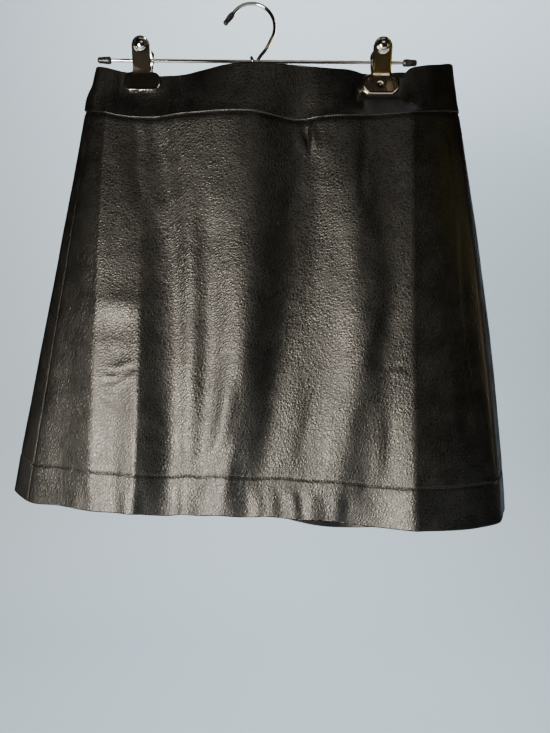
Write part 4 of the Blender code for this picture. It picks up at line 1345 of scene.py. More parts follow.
class Pattern:
    """A Geometry Nodes tree with named inputs that turns a guide into a plain mesh."""

    def __init__(self, name: str, inputs: Iterable[tuple[str, str, object]]) -> None:
        """Starts the tree with its guide, its named inputs and a material."""
        self.tree = bpy.data.node_groups.new(name, "GeometryNodeTree")
        sockets = self.tree.interface
        sockets.new_socket("Guide", in_out="INPUT", socket_type="NodeSocketGeometry")
        sockets.new_socket("Shape", in_out="OUTPUT", socket_type="NodeSocketGeometry")
        for label, kind, value in (*inputs, ("Material", "NodeSocketMaterial", None)):
            socket = sockets.new_socket(label, in_out="INPUT", socket_type=kind)
            if value is not None:
                socket.default_value = value
        self.graph = Graph(self.tree)
        self.source = self.graph.add("NodeGroupInput").outputs

    def place(self, x: object, y: object, z: object) -> Socket:
        """Adds a Combine XYZ node and returns its vector."""
        return self.graph.add("ShaderNodeCombineXYZ", {0: x, 1: y, 2: z}).outputs[0]

    def tube(self, line: Socket, radius: object, sides: int) -> Socket:
        """Adds a round tube along a curve, with closed ends, and returns its mesh."""
        ring = self.graph.add("GeometryNodeCurvePrimitiveCircle", {"Resolution": sides, "Radius": radius})
        inputs = {"Curve": line, "Profile Curve": ring.outputs[0], "Fill Caps": True}
        mesh = self.graph.add("GeometryNodeCurveToMesh", inputs)
        return self.graph.add("GeometryNodeSetShadeSmooth", {"Geometry": mesh.outputs[0]}).outputs[0]

    def finish(self, shape: Socket) -> None:
        """Ends the tree with real faces and the material."""
        real = self.graph.add("GeometryNodeRealizeInstances", {"Geometry": shape})
        inputs = {"Geometry": real.outputs[0], "Material": self.source["Material"]}
        painted = self.graph.add("GeometryNodeSetMaterial", inputs)
        self.graph.add("NodeGroupOutput", {0: painted.outputs[0]})

    def make(self, name: str, guide: Mesh, **values: object) -> Mesh:
        """Runs the tree on a guide.

        Args:
            name: The new mesh's name.
            guide: The guide, which is used up.
            **values: Values for the named inputs (_ stands for a space).

        Returns:
            The plain mesh.
        """
        carrier = link_object(name + "_guide", guide)
        modifier = carrier.modifiers.new("pattern", "NODES")
        modifier.node_group = self.tree
        for item in self.tree.interface.items_tree:
            key = item.name.replace(" ", "_")
            if item.in_out == "INPUT" and key in values:
                modifier[item.identifier] = values[key]
        graph = bpy.context.evaluated_depsgraph_get()
        mesh = bpy.data.meshes.new_from_object(carrier.evaluated_get(graph))
        mesh.name = name
        bpy.data.objects.remove(carrier, do_unlink=True)
        bpy.data.meshes.remove(guide)
        return mesh


def build_stitch_pattern() -> Pattern:
    """Builds rows of small arched pieces along guide lines: stitches, or the teeth of a zip."""
    inputs = (
        ("Pitch", FLOAT, 0.0028), ("Length", FLOAT, 0.0022),
        ("Thread", FLOAT, 0.0003), ("Rise", FLOAT, 0.0003),
    )
    pattern = Pattern("rows_of_stitches", inputs)
    graph, source = pattern.graph, pattern.source
    line = graph.add("GeometryNodeMeshToCurve", {"Mesh": source["Guide"]})
    spaced = {"Curve": line.outputs[0], "Length": source["Pitch"]}
    points = graph.add("GeometryNodeResampleCurve", spaced, mode="LENGTH")
    half = graph.times(source["Length"], 0.5)
    sunk = graph.times(source["Rise"], -1.0)
    lifted = graph.times(source["Rise"], 2.0)
    bow = {
        "Resolution": 5,
        "Start": pattern.place(graph.times(half, -1.0), 0.0, sunk),
        "Middle": pattern.place(0.0, 0.0, lifted),
        "End": pattern.place(half, 0.0, sunk),
    }
    thread = graph.add("GeometryNodeCurveQuadraticBezier", bow)
    piece = pattern.tube(thread.outputs[0], source["Thread"], 6)
    outwards, along = [
        graph.add("GeometryNodeInputNamedAttribute", {"Name": name}, data_type="FLOAT_VECTOR").outputs[0]
        for name in ("outwards", "along")
    ]
    up = graph.add("FunctionNodeAlignRotationToVector", {"Vector": outwards}, axis="Z")
    aim = {"Rotation": up.outputs[0], "Vector": along}
    turn = graph.add("FunctionNodeAlignRotationToVector", aim, axis="X", pivot_axis="Z")
    copies = {"Points": points.outputs[0], "Instance": piece, "Rotation": turn.outputs[0]}
    pattern.finish(graph.add("GeometryNodeInstanceOnPoints", copies).outputs[0])
    return pattern


def build_spring_pattern() -> Pattern:
    """Builds a coil spring along X whose legs are the guide's lines."""
    inputs = (
        ("Turns", FLOAT, 7.0), ("Radius", FLOAT, 0.0037), ("Width", FLOAT, 0.0092),
        ("Wire", FLOAT, 0.0006), ("Centre", VECTOR, None),
    )
    pattern = Pattern("coil_spring", inputs)
    graph, source = pattern.graph, pattern.source
    spiral = {
        "Resolution": 20, "Rotations": source["Turns"], "Start Radius": source["Radius"],
        "End Radius": source["Radius"], "Height": source["Width"],
    }
    coil = graph.add("GeometryNodeCurveSpiral", spiral)
    shift = pattern.place(graph.times(source["Width"], -0.5), 0.0, 0.0)
    laid = {"Geometry": coil.outputs[0], "Translation": shift, "Rotation": (0.0, math.pi / 2, 0.0)}
    lying = graph.add("GeometryNodeTransform", laid)
    legs = graph.add("GeometryNodeMeshToCurve", {"Mesh": source["Guide"]})
    both = graph.add("GeometryNodeJoinGeometry")
    for part in (lying.outputs[0], legs.outputs[0]):
        graph.feed(both.inputs[0], part)
    wire = pattern.tube(both.outputs[0], source["Wire"], 8)
    moved = graph.add("GeometryNodeTransform", {"Geometry": wire, "Translation": source["Centre"]})
    pattern.finish(moved.outputs[0])
    return pattern


# --- the cloth's pieces ---


@dataclass(frozen=True)
class Sewn:
    """How sewing shapes the leather, in millimetres: how far, and over what distances.

    Panels sink at the waist seam, a band swells at its foot, the hem sinks at its stitches, is
    fuller below them and puckers beside them, and every piece sinks a little at its side seams.
    """

    sink: Pair = (0.9, 5.0)
    swell: tuple[float, float, float] = (0.35, 7.0, 1.0)
    groove: Pair = (0.45, 1.2)
    fullness: tuple[float, float, float] = (0.25, 0.5, 3.0)
    pucker: Pair = (0.16, 6.0)
    pucker_waves: tuple[float, float, float] = (0.52, 1.3, 0.11)
    side_sink: Pair = (0.08, 2.0)

    def band(self, down: Array) -> Array:
        """Returns a band's rise at distances down it."""
        rise, above, level = self.swell
        return rise * smooth_step(down, down[-1] - above, down[-1] - level)

    def panel(self, down: Array, stitch: int) -> Array:
        """Returns a panel's rise at distances down it, apart from the puckers."""
        off = down - down[stitch]
        rise = -self.sink[0] * smooth_step(down, self.sink[1], 0.0)
        rise = rise - self.groove[0] * np.exp(-((off / self.groove[1]) ** 2))
        return rise + self.fullness[0] * smooth_step(off, *self.fullness[1:])

    def puckers(self, across: Array, off: Array, seed: float) -> Array:
        """Returns the rise of the puckers at distances across and off the stitches."""
        wave, sway, slow = self.pucker_waves
        rows = np.exp(-np.abs(off) / self.pucker[1])
        columns = self.pucker[0] * np.sin(across * wave + sway * np.sin(across * slow + seed))
        return columns[None, :] * rows[:, None]

    def sides(self, across: Array) -> Array:
        """Returns the rise at distances across a piece, by its two side seams."""
        nearest = np.minimum(across, across[-1] - across)
        return -self.side_sink[0] * np.exp(-((nearest / self.side_sink[1]) ** 2))


# Rise, size and seed of the leather's own lumps.
LUMPS = ((0.35, 46.0, 0), (0.15, 17.0, 7))
SEWN = Sewn()
BAND_RIMS = Rims(1.2, 0.9, 0.25)
PANEL_RIMS = Rims(0.5, 1.2, 0.25)


@dataclass(frozen=True)
class ClothPiece:
    """One cut piece of the skirt, the node it stands for and the size it was cut to.

    The flat size (widest row and mean column, in millimetres) and the area (in square metres) are
    those of the piece's own outer face; the width of hem that is turned up isn't counted.
    """

    name: str
    node: str
    side: Side
    band: bool
    flat: Pair
    area: float
    rests_on: tuple[str, ...]
    seed: float

    def columns(self, form: SkirtForm) -> Array:
        """Returns the form's columns that the piece covers, in order."""
        ends = {
            "front": (form.left, form.right),
            "right": (form.right, form.back),
            "left": (form.back, form.columns),
        }
        key = "front" if self.side is Side.FRONT else self.name.rsplit("_", 1)[1]
        first, last = ends[key]
        return np.arange(first, last + 1) % form.columns

    def relief(self, patch: Patch) -> tuple[Array, Array]:
        """Works out the creases and the unevenness of the piece.

        Args:
            patch: The piece's stretch of the draped form.

        Returns:
            How far each point moves out, and how rubbed the leather is there.
        """
        x, z = patch.outer[..., 0], patch.outer[..., 2]
        rise = np.zeros(patch.outer.shape[:2])
        for amount, size, seed in LUMPS:
            rise += amount * unevenness(patch.outer, size, self.seed + seed)
        rubbed = np.zeros_like(rise)
        if self.band:
            return rise * (1 - grip(x)), rubbed
        for crease in CREASES + tuple(ripple_creases(self.side)):
            if crease.side is self.side:
                shape = crease_relief(crease, x, z)
                rise += crease.rise * shape
                rubbed += crease.rubbed * np.abs(shape)
        return rise, rubbed

    def build(
        self, form: SkirtForm, finishes: Finishes, zipper: "Zip"
    ) -> tuple[bpy.types.Object, Patch]:
        """Builds the piece as a closed shell of leather.

        Args:
            form: The draped form.
            finishes: The materials.
            zipper: The zip, beside which the back's edges stand apart.

        Returns:
            The object and the patch of its outer face.
        """
        rows = slice(0, form.seam_row + 1) if self.band else slice(form.seam_row, None)
        columns = self.columns(form)
        outer = form.grid[rows][:, columns].copy()
        normals = form.normals[rows][:, columns].copy()
        walls = np.full(outer.shape[:2], BAND_WALL if self.band else LEATHER)
        stitch = form.stitch_row - form.seam_row
        if not self.band:
            walls[stitch:] = HEM_WALL
        patch = Patch(outer, normals, walls)
        rise, rubbed = self.relief(patch)
        across, down = patch.lengths()
        if self.band:
            rise += SEWN.band(down)[:, None]
        else:
            rise += SEWN.panel(down, stitch)[:, None]
            rise += SEWN.puckers(across, down - down[stitch], self.seed)
        rise += SEWN.sides(across)[None, :]
        patch.outer += patch.normals * rise[..., None]
        half = SEAM_GAP / 2
        gaps = [0.0 if self.band else half, half if self.band else 0.0, half, half]
        if self.side is Side.BACK:
            zip_side = 3 if self.name.endswith("right") else 2
            gaps[zip_side] = half + zipper.set_back(self.band, down)[:, None]
        rims = BAND_RIMS if self.band else PANEL_RIMS
        patch.inset(rims, gaps)
        mesh = shell_mesh(self.name, patch, rims, None if self.band else outer.shape[0] - 1 - stitch)
        values = np.zeros(len(mesh.vertices))
        values[: rubbed.size] = rubbed.reshape(-1)
        add_values(mesh, "rubbed", np.clip(values, 0.0, 1.0))
        obj = dress(self.name, mesh, "black_leather", (self.node,), finishes.leather, finishes.backing)
        return obj, patch


CLOTH = (
    ClothPiece("leather_front", "front_panel", F, False, (500.5, 384.1), 0.1670, ("band_front",), 1.7),
    ClothPiece(
        "leather_back_right", "back_panel_right", B, False, (277.7, 394.9), 0.0926,
        ("band_back_right",), 23.1,
    ),
    ClothPiece(
        "leather_back_left", "back_panel_left", B, False, (284.4, 382.5), 0.0914,
        ("band_back_left",), 41.9,
    ),
    ClothPiece(
        "band_front", "waistband_front", F, True, (372.6, 44.0), 0.0163,
        ("clip_left_front", "clip_right_front"), 5.3,
    ),
    ClothPiece(
        "band_back_right", "waistband_back_right", B, True, (185.5, 45.5), 0.0082,
        ("clip_right_back",), 12.2,
    ),
    ClothPiece(
        "band_back_left", "waistband_back_left", B, True, (194.8, 43.8), 0.0080,
        ("clip_left_back",), 31.4,
    ),
)


# --- the hem's stitches and the zip ---


def line_along(points: Array, outwards: Array) -> GuideLine:
    """Returns a guide line whose pieces lie along it."""
    return GuideLine(points, outwards, unit(np.gradient(points, axis=0)))


@dataclass(frozen=True)
class Sewing:
    """The stitches: the line that holds the turned-up hem shows on both of the leather's faces."""

    pitch: float = 2.8
    stitch: float = 1.6
    thread: float = 0.5
    rise: float = 0.3
    end_gap: int = 1

    def lines(self, form: SkirtForm, patches: Iterable[Patch]) -> list[GuideLine]:
        """Returns the guide lines on the outer and inner faces of the panels."""
        row = form.stitch_row - form.seam_row
        inside = slice(self.end_gap, -self.end_gap)
        lines = []
        for patch in patches:
            outer, normals = patch.outer[row, inside], patch.normals[row, inside]
            wall = patch.walls[row, inside][:, None]
            lines.append(line_along(outer, normals))
            lines.append(line_along(outer - normals * (wall + 0.05), -normals))
        return lines

    def build(
        self,
        form: SkirtForm,
        patches: dict[str, Patch],
        zipper: "Zip",
        finishes: Finishes,
        pattern: Pattern,
    ) -> None:
        """Builds all the skirt's stitches as one piece.

        Args:
            form: The draped form.
            patches: The cloth pieces' outer faces, by name.
            zipper: The zip, with its own lines of sewing.
            finishes: The materials.
            pattern: The pattern of stitches.
        """
        panels = [patch for name, patch in patches.items() if name.startswith("leather")]
        guide = guide_mesh("stitch_guide", self.lines(form, panels) + zipper.sewing_lines(patches))
        mesh = pattern.make(
            "stitches", guide, Pitch=self.pitch * MM, Length=self.stitch * MM,
            Thread=self.thread * MM, Rise=self.rise * MM, Material=finishes.thread,
        )
        dress("stitches", mesh, "black_leather", ())


@dataclass(frozen=True)
class Zip:
    """The zip in the centre-back seam: its tape, teeth, slider and pull."""

    tape_half_width: float = 17.0
    tape_wall: float = 0.6
    tape_top: float = 5.0
    clearance: float = 0.75
    reach: float = 0.3825
    groove: float = 1.25
    tooth_pitch: float = 1.5
    tooth_length: float = 2.3
    tooth_thread: float = 0.42
    tooth_rise: float = 0.3
    tooth_arch: float = 0.25
    sewn_at: float = 7.0
    slider_size: tuple[float, float, float] = (5.6, 1.8, 9.0)
    slider_drop: float = 12.0
    wedge_depth: float = 3.4
    bridge: tuple[float, float, float] = (2.15, 2.65, 0.45)
    bridge_reach: float = 1.35
    pull_length: float = 21.0
    pull_half_width: float = 2.4
    pull_wall: float = 1.0
    eye: Pair = (1.2, 3.2)

    def set_back(self, band: bool, down: Array) -> Array:
        """Returns how far a piece's edge stands back from the seam, at distances down it."""
        if band:
            return np.full(len(down), self.groove)
        end = self.reach * PANEL_HEIGHT
        return self.groove * smooth_step(down, end, end - 9.0)

    def rows(self, form: SkirtForm) -> Array:
        """Returns the form's rows that the zip covers."""
        last = form.seam_row + int(np.searchsorted(form.panel_shares, self.reach))
        heights = form.grid[: last + 1, form.back, 2]
        return np.flatnonzero(heights < heights[0] - self.tape_top)

    def depths(self, form: SkirtForm, rows: Array) -> Array:
        """Returns how deep the tape's outer face lies at the rows."""
        down = rows - form.seam_row
        walls = LEATHER + (BAND_WALL - LEATHER) * smooth_step(down, 6, 1)
        return walls + self.clearance

    def build_tape(self, form: SkirtForm, finishes: Finishes) -> Patch:
        """Builds the woven tape behind the seam and returns its patch."""
        rows = self.rows(form)
        reach = round(self.tape_half_width / form.step)
        columns = np.arange(form.back - reach, form.back + reach + 1)
        normals = form.normals[rows][:, columns].copy()
        outer = form.grid[rows][:, columns] - normals * self.depths(form, rows)[:, None, None]
        patch = Patch(outer, normals, np.full(outer.shape[:2], self.tape_wall))
        mesh = shell_mesh("zip_tape_woven", patch, Rims(0.25, 0.25, 0.25))
        obj = dress("zip_tape_woven", mesh, "zip_tape_cloth", ("zip_tape",), finishes.tape)
        return patch

    def teeth_lines(self, patch: Patch) -> list[GuideLine]:
        """Returns the lines of the left and the right row of teeth, half a pitch apart."""
        middle = patch.outer.shape[1] // 2
        closed = patch.outer[:, middle, 2] < WAIST_TOP_Z - self.slider_drop
        seam, outwards = patch.outer[closed, middle], patch.normals[closed, middle]
        down = unit(np.gradient(seam, axis=0))
        across = unit(np.cross(down, outwards))
        raised = seam + outwards * self.tooth_rise
        lines = []
        for sign in (-1, 1):
            shift = across * sign * 0.33 * self.tooth_length + down * sign * self.tooth_pitch / 4
            lines.append(GuideLine(raised + shift, outwards, across))
        return lines

    def sewing_lines(self, patches: dict[str, Patch]) -> list[GuideLine]:
        """Returns the lines that sew the leather to the tape, with a bar across the zip's foot."""
        lines = []
        for side, edge in (("right", -1), ("left", 0)):
            for name in (f"band_back_{side}", f"leather_back_{side}"):
                patch = patches[name]
                _, down = patch.lengths()
                last = len(down) - 1
                if name.startswith("leather"):
                    last = int(np.searchsorted(down, self.reach * PANEL_HEIGHT))
                points, normals = patch.beside(edge, self.sewn_at)
                lines.append(line_along(points[1:last], normals[1:last]))
            spots = [patch.beside(edge, gap) for gap in np.linspace(0.8, self.sewn_at, 4)]
            bar = np.array([points[last] for points, _ in spots])
            lines.append(line_along(bar, np.array([normals[last] for _, normals in spots])))
        return lines

    def build_slider(self, origin: Vector, finishes: Finishes) -> None:
        """Builds the slider: a waisted body, a wedge between the teeth and a bridge."""
        half, wall, height = self.slider_size[0] / 2, self.slider_size[1], self.slider_size[2] / 2
        side = [
            (0.8, -height), (1.5, -height + 0.2), (1.9, -height + 0.9), (half, 0.6), (half, height - 0.9),
            (half - 0.3, height - 0.2), (1.6, height), (0.6, height - 0.3),
        ]
        outline = np.array(side + [(0.0, height - 0.6)] + [(-x, z) for x, z in side[::-1]])
        place = frame_matrix((-1, 0, 0), (0, 0, 1), (0, 1, 0), origin - Vector((0.0, wall / 2, 0.0)))
        body = stamped_mesh("slider_body", outline, None, wall, 0.4, place)
        wedge_outline = outline * (0.42, 0.8)
        wedge_place = place.copy()
        wedge_place.translation.y -= self.wedge_depth - wall / 2
        wedge = stamped_mesh("slider_wedge", wedge_outline, None, self.wedge_depth, 0.2, wedge_place)
        half_span, rise, radius = self.bridge
        angles = np.radians(np.linspace(-8, 188, 29))
        along = half_span * np.sign(np.cos(angles)) * np.abs(np.cos(angles)) ** (2 / 3)
        out = rise * np.sign(np.sin(angles)) * np.abs(np.sin(angles)) ** (2 / 3)
        path = np.stack((0 * angles, out, along), axis=1) + np.array(origin)
        arch = wire_mesh("slider_bridge", path, radius, 12)
        mesh = joined_mesh("zip_slider_body", (body, wedge, arch))
        dress("zip_slider_body", mesh, "zip_metal", ("zip_slider",), finishes.zip_metal)

    def build_pull(self, origin: Vector, finishes: Finishes) -> None:
        """Builds the pull: a waisted drop with an eye round the bridge."""
        width, top = self.pull_half_width, self.pull_wall / 2
        tail = width - self.pull_length
        drop = arc_points((0.0, tail), width, -90, 0, 12)
        neck = [(0.86 * width, tail + 3.0), (0.66 * width, 0.55 * tail)]
        neck += [(0.95 * width, -3.7), (0.8 * width, top - 0.3)]
        right = smooth_path(drop + neck, 0.5)
        side = np.vstack((right, (0.6 * width, top)))
        outline = np.vstack((side, (side * (-1, 1))[::-1][:-1]))
        eye_half, eye_low = self.eye
        centre = np.array((0.0, -(top + eye_low) / 2))
        angles = np.arctan2(*(outline - centre).T[::-1])
        tall = (eye_low - top) / 2
        reach = (np.abs(np.cos(angles) / eye_half) ** 4 + np.abs(np.sin(angles) / tall) ** 4) ** -0.25
        hole = centre + np.stack((np.cos(angles), np.sin(angles)), axis=1) * reach[:, None]
        place = frame_matrix((1, 0, 0), (0, 0, 1), (0, -1, 0), origin)
        mesh = stamped_mesh("zip_pull_tab", outline, hole, self.pull_wall, 0.3, place)
        dress("zip_pull_tab", mesh, "zip_metal", ("zip_pull",), finishes.zip_metal, body="zip_pull")

    def build(self, form: SkirtForm, finishes: Finishes, pattern: Pattern) -> None:
        """Builds the zip's tape, teeth, slider and pull.

        Args:
            form: The draped form.
            finishes: The materials.
            pattern: The pattern of stitches and teeth.
        """
        patch = self.build_tape(form, finishes)
        guide = guide_mesh("teeth_guide", self.teeth_lines(patch))
        teeth = pattern.make(
            "zip_teeth", guide, Pitch=self.tooth_pitch * MM, Length=self.tooth_length * MM,
            Thread=self.tooth_thread * MM, Rise=self.tooth_arch * MM, Material=finishes.nylon,
        )
        dress("zip_teeth", teeth, "black_vinyl", ())
        hinge = Vector(frame["joints"][0]["pos_m"]) / MM
        self.build_slider(hinge - Vector((0.0, self.bridge_reach, 0.0)), finishes)
        self.build_pull(hinge, finishes)


# --- the hanger ---


@dataclass(frozen=True)
class Hanger:
    """The wire bar, the hook whose eye goes round it, and their dipped caps."""

    bar_length: float = 305.0
    tip_length: float = 13.5
    tip_radius: float = 3.3
    tip_wall: float = 3.0
    crook_radius: float = 21.7
    crook_deg: Pair = (146.0, -31.0)
    crook_points: int = 19
    shank_step: float = 4.0
    hook_tip_length: float = 13.0
    hook_tip_radius: float = 2.8
    eye_deg: Pair = (25.0, -225.0)
    eye_across: Pair = (4.4, -1.0)
    eye_points: int = 13
    wire_step: float = 0.9

    def cap_profile(self, length: float, radius: float) -> list[Pair]:
        """Returns a cap's profile: a soft nose, a swell, a rounded mouth and the wire's bore."""
        bore = WIRE_RADIUS + FIT_GAP
        skin = (
            (0.0, 0.0), (0.55, -0.1), (0.8, -0.4), (0.86, -0.3 * length / radius),
            (1.0, -0.65 * length / radius), (0.97, -0.9 * length / radius), (0.8, -length / radius),
        )
        profile = [(max(r, 0.0), z) for r, z in smooth_path(np.array(skin) * radius, 0.45)]
        return profile + [(bore, -length), (bore, -self.tip_wall), (0.0, -self.tip_wall)]

    def build_cap(
        self, name: str, node: str, size: Pair, place: Matrix, vinyl: Material
    ) -> None:
        """Builds a cap of a length and radius with its nose at a place."""
        mesh = turned_mesh(name, self.cap_profile(*size), place, 28)
        dress(name, mesh, "black_vinyl", (node,), vinyl)

    def hook_line(self) -> tuple[Array, Vector, Vector]:
        """Returns the hook's wire from tip to eye, the mouth of its cap and the way it points."""
        angles = np.radians(np.linspace(*self.crook_deg, self.crook_points))
        centre = np.array((-1.0, 0.0, WIRE_RADIUS - self.crook_radius))
        crook = centre + self.crook_radius * np.stack((np.cos(angles), 0 * angles, np.sin(angles)), axis=1)
        outwards = unit(crook[0] - crook[1])
        end = crook[0] + outwards * (self.hook_tip_length - self.tip_wall - FIT_GAP)
        downwards = unit(crook[-1] - crook[-2])
        shank = [crook[-1] + downwards * self.shank_step * step for step in (1, 2)]
        angles = np.radians(np.linspace(*self.eye_deg, self.eye_points))
        radius = 2 * WIRE_RADIUS + FIT_GAP
        across = np.linspace(*self.eye_across, self.eye_points)
        eye = np.stack((across, radius * np.cos(angles), BAR_CENTRE.z + radius * np.sin(angles)), axis=1)
        path = np.vstack((end, (end + crook[0]) / 2, crook, *shank, eye))
        return smooth_path(path, self.wire_step), Vector(crook[0]), Vector(outwards)

    def build(self, finishes: Finishes) -> None:
        """Builds the bar, the hook and the three caps."""
        half = self.bar_length / 2
        wire_end = half - self.tip_wall - FIT_GAP
        line = np.array(BAR_CENTRE) + np.linspace((-wire_end, 0, 0), (wire_end, 0, 0), 60)
        path, mouth, outwards = self.hook_line()
        for name, node, wire in (("wire_bar", "hanger_bar", line), ("wire_hook", "hanger_hook", path)):
            dress(name, wire_mesh(name, wire, WIRE_RADIUS), "chrome", (node,), finishes.chrome)
        for side, sign in (("left", -1), ("right", 1)):
            way = Vector((sign, 0.0, 0.0))
            place = facing_matrix(way, BAR_CENTRE + way * half)
            size = (self.tip_length, self.tip_radius)
            self.build_cap(f"cap_{side}", f"bar_tip_{side}", size, place, finishes.vinyl)
        place = facing_matrix(outwards, mouth + outwards * self.hook_tip_length)
        size = (self.hook_tip_length, self.hook_tip_radius)
        self.build_cap("cap_hook", "hook_tip", size, place, finishes.vinyl)


@dataclass(frozen=True)
class Clip:
    """A clip on the bar: two stamped plates with ears, rivets and a coil spring.

    Heights are measured up from the bar, or from the jaw's top or foot. The plate's rolled rim
    fades from the handle to the flatter jaw over roll_fade.
    """

    side: str
    x: float
    corner: float
    notch: float | None
    dimple: float
    rivet_radius: float
    wall: float = 1.0
    handle_half: float = 8.0
    top: float = 17.3
    jaw_top: float = -12.5
    jaw_half_width: float = 17.0
    jaw_half_height: float = 8.45
    lip: float = 1.2
    bends: tuple[Pair, ...] = ((-29.7, 3.95), (-12.2, 3.95), (0.0, 7.4), (17.6, 12.5))
    rim: float = 1.25
    rim_turn: float = 0.93
    dish_radius: float = 6.7
    dish_depth: float = 0.45
    rivet_drop: float = 7.0
    ear_radius: float = 4.2
    ear_bend: Pair = (0.6, 1.9)
    columns: int = 61
    neck: tuple[Pair, ...] = ((1.4, 0.15), (0.5, 0.6))
    shoulder: float = 1.2
    roll_fade: float = 4.0
    jaw_roll: float = 0.35
    dimple_place: Pair = (-1.0, 9.0)
    dimple_radii: Pair = (2.4, 0.8)
    lip_height: float = 3.0
    notch_half_width: float = 1.1
    ears: Pair = (7.6, 6.2)
    rivet_dome: Pair = (0.7, 2.5)
    rivet_collar: tuple[Pair, ...] = ((0.1, 0.75), (0.5, 0.66), (0.75, 0.4), (0.75, 0.05))
    leg: tuple[tuple[float, float, float], ...] = (
        (4.6, 0.0, -3.7), (4.6, 4.4, -3.1), (4.5, 6.0, 2.5), (3.6, 8.6, 9.2),
    )

    def depth(self, z: Array) -> Array:
        """Returns how far a plate's middle stands from the bar at heights, with soft bends."""
        heights, depths = zip(*self.bends)
        near = [np.interp(z + shift, heights, depths) for shift in (-1.5, -0.5, 0.5, 1.5)]
        return np.mean(near, axis=0)

    def outline(self) -> tuple[Array, Array]:
        """Returns the plate's heights from top to bottom and its half widths there."""
        centre = self.top - self.handle_half
        rows = arc_points((centre, 0.0), self.handle_half, 3, 90, 15)
        rows += [(z, self.handle_half) for z in np.linspace(centre - 1.2, self.jaw_top + 2.6, 15)]
        rows += [(self.jaw_top + above, self.handle_half + beside) for above, beside in self.neck]
        corner = self.corner
        flat = self.jaw_half_width - corner
        low = self.jaw_top - 2 * self.jaw_half_height
        rows.append((self.jaw_top, max(flat, self.handle_half + self.shoulder)))
        rows += arc_points((self.jaw_top - corner, flat), corner, 10, 90, 10)
        height = self.jaw_top - low - 2 * corner
        straight = np.linspace(self.jaw_top - corner, low + corner, 2 + int(height))[1:-1]
        rows += [(z, self.jaw_half_width) for z in straight]
        rows += arc_points((low + corner, flat), corner, 96, 178, 16)
        heights, halves = np.array(rows).T
        return heights, halves

    def edge_distance(self, x: Array, z: Array) -> Array:
        """Returns the distance of points on the plate from its nearest edge."""
        centre = self.top - self.handle_half
        handle = self.handle_half - np.hypot(x, np.maximum(z - centre, 0.0))
        handle = np.minimum(handle, z - self.jaw_top + 8.0)
        across = np.abs(x) - (self.jaw_half_width - self.corner)
        middle = self.jaw_top - self.jaw_half_height
        down = np.abs(z - middle) - (self.jaw_half_height - self.corner)
        outside = np.hypot(np.maximum(across, 0.0), np.maximum(down, 0.0))
        jaw = self.corner - outside - np.minimum(np.maximum(across, down), 0.0)
        return np.maximum(handle, jaw)

    def relief(self, x: Array, z: Array) -> Array:
        """Returns how far the plate stands out from its middle: rolled rim, dish, dimple and lip."""
        share = np.clip(self.edge_distance(x, z) / self.rim, 0.0, 1.0)
        roll = self.rim * (1 - np.sqrt(1 - (self.rim_turn * (1 - share)) ** 2))
        low = self.jaw_top - 2 * self.jaw_half_height
        handle = smooth_step(z, self.jaw_top, self.jaw_top + self.roll_fade)
        rise = -roll * (self.jaw_roll + (1 - self.jaw_roll) * handle)
        away = np.hypot(x, z - (self.top - self.rivet_drop))
        rise -= self.dish_depth * smooth_step(away, self.dish_radius + 0.5, self.dish_radius - 0.7)
        away = np.hypot(x - self.dimple_place[0], z - low - self.dimple_place[1])
        rise -= self.dimple * smooth_step(away, *self.dimple_radii)
        lip = self.lip * smooth_step(z, low + self.lip_height, low) ** 1.5
        if self.notch is not None:
            lip = lip * (1 - np.exp(-(((x - self.notch) / self.notch_half_width) ** 2)))
        return rise + lip

    def plate_mesh(self, sign: int) -> Mesh:
        """Builds one plate; sign is -1 for the front one and 1 for the back one."""
        heights, halves = self.outline()
        across = np.sin(np.linspace(-1, 1, self.columns) * math.pi / 2) * -sign
        x = halves[:, None] * across
        z = np.repeat(heights[:, None], self.columns, axis=1)
        plain = self.depth(z) + self.wall / 2

        def facing(depth: Array) -> tuple[Array, Array]:
            """Returns the points at a depth and their normals."""
            points = np.stack((x + self.x, sign * depth, z + BAR_CENTRE.z), axis=-1)
            return points, unit(np.cross(np.gradient(points, axis=0), np.gradient(points, axis=1)))

        outer, rolled = facing(plain + self.relief(x, z))
        _, level = facing(plain)
        share = smooth_step(z, self.jaw_top, self.jaw_top + self.roll_fade)[..., None]
        normals = unit(level + (rolled - level) * share)
        walls = np.full(x.shape, self.wall)
        return shell_mesh("plate", Patch(outer, normals, walls), Rims(0.3, 0.3, 0.3))

    def ear_mesh(self, sign: int, x: float) -> Mesh:
        """Builds an ear that reaches from a plate round the bar."""
        angles = np.radians(np.linspace(0, 360, 48, endpoint=False))
        away = np.abs(np.where(angles > math.pi, angles - 2 * math.pi, angles))
        limit = np.full(len(angles), 7.0)
        for _ in range(6):
            limit = (self.depth(limit * np.sin(angles)) - 0.3) / np.maximum(np.cos(angles), 0.25)
        fall = np.clip((away - self.ear_bend[0]) / (self.ear_bend[1] - self.ear_bend[0]), 0.0, 1.0)
        reach = np.minimum(limit, self.ear_radius + 9.0 * (1 - fall) ** 2.2)
        ring = np.stack((np.cos(angles), np.sin(angles)), axis=1)
        place = frame_matrix((0, sign, 0), (0, 0, 1), (sign, 0, 0), (self.x + x, 0.0, BAR_CENTRE.z))
        bore = ring * (WIRE_RADIUS + FIT_GAP)
        return stamped_mesh("ear", ring * reach[:, None], bore, self.wall, 0.25, place)

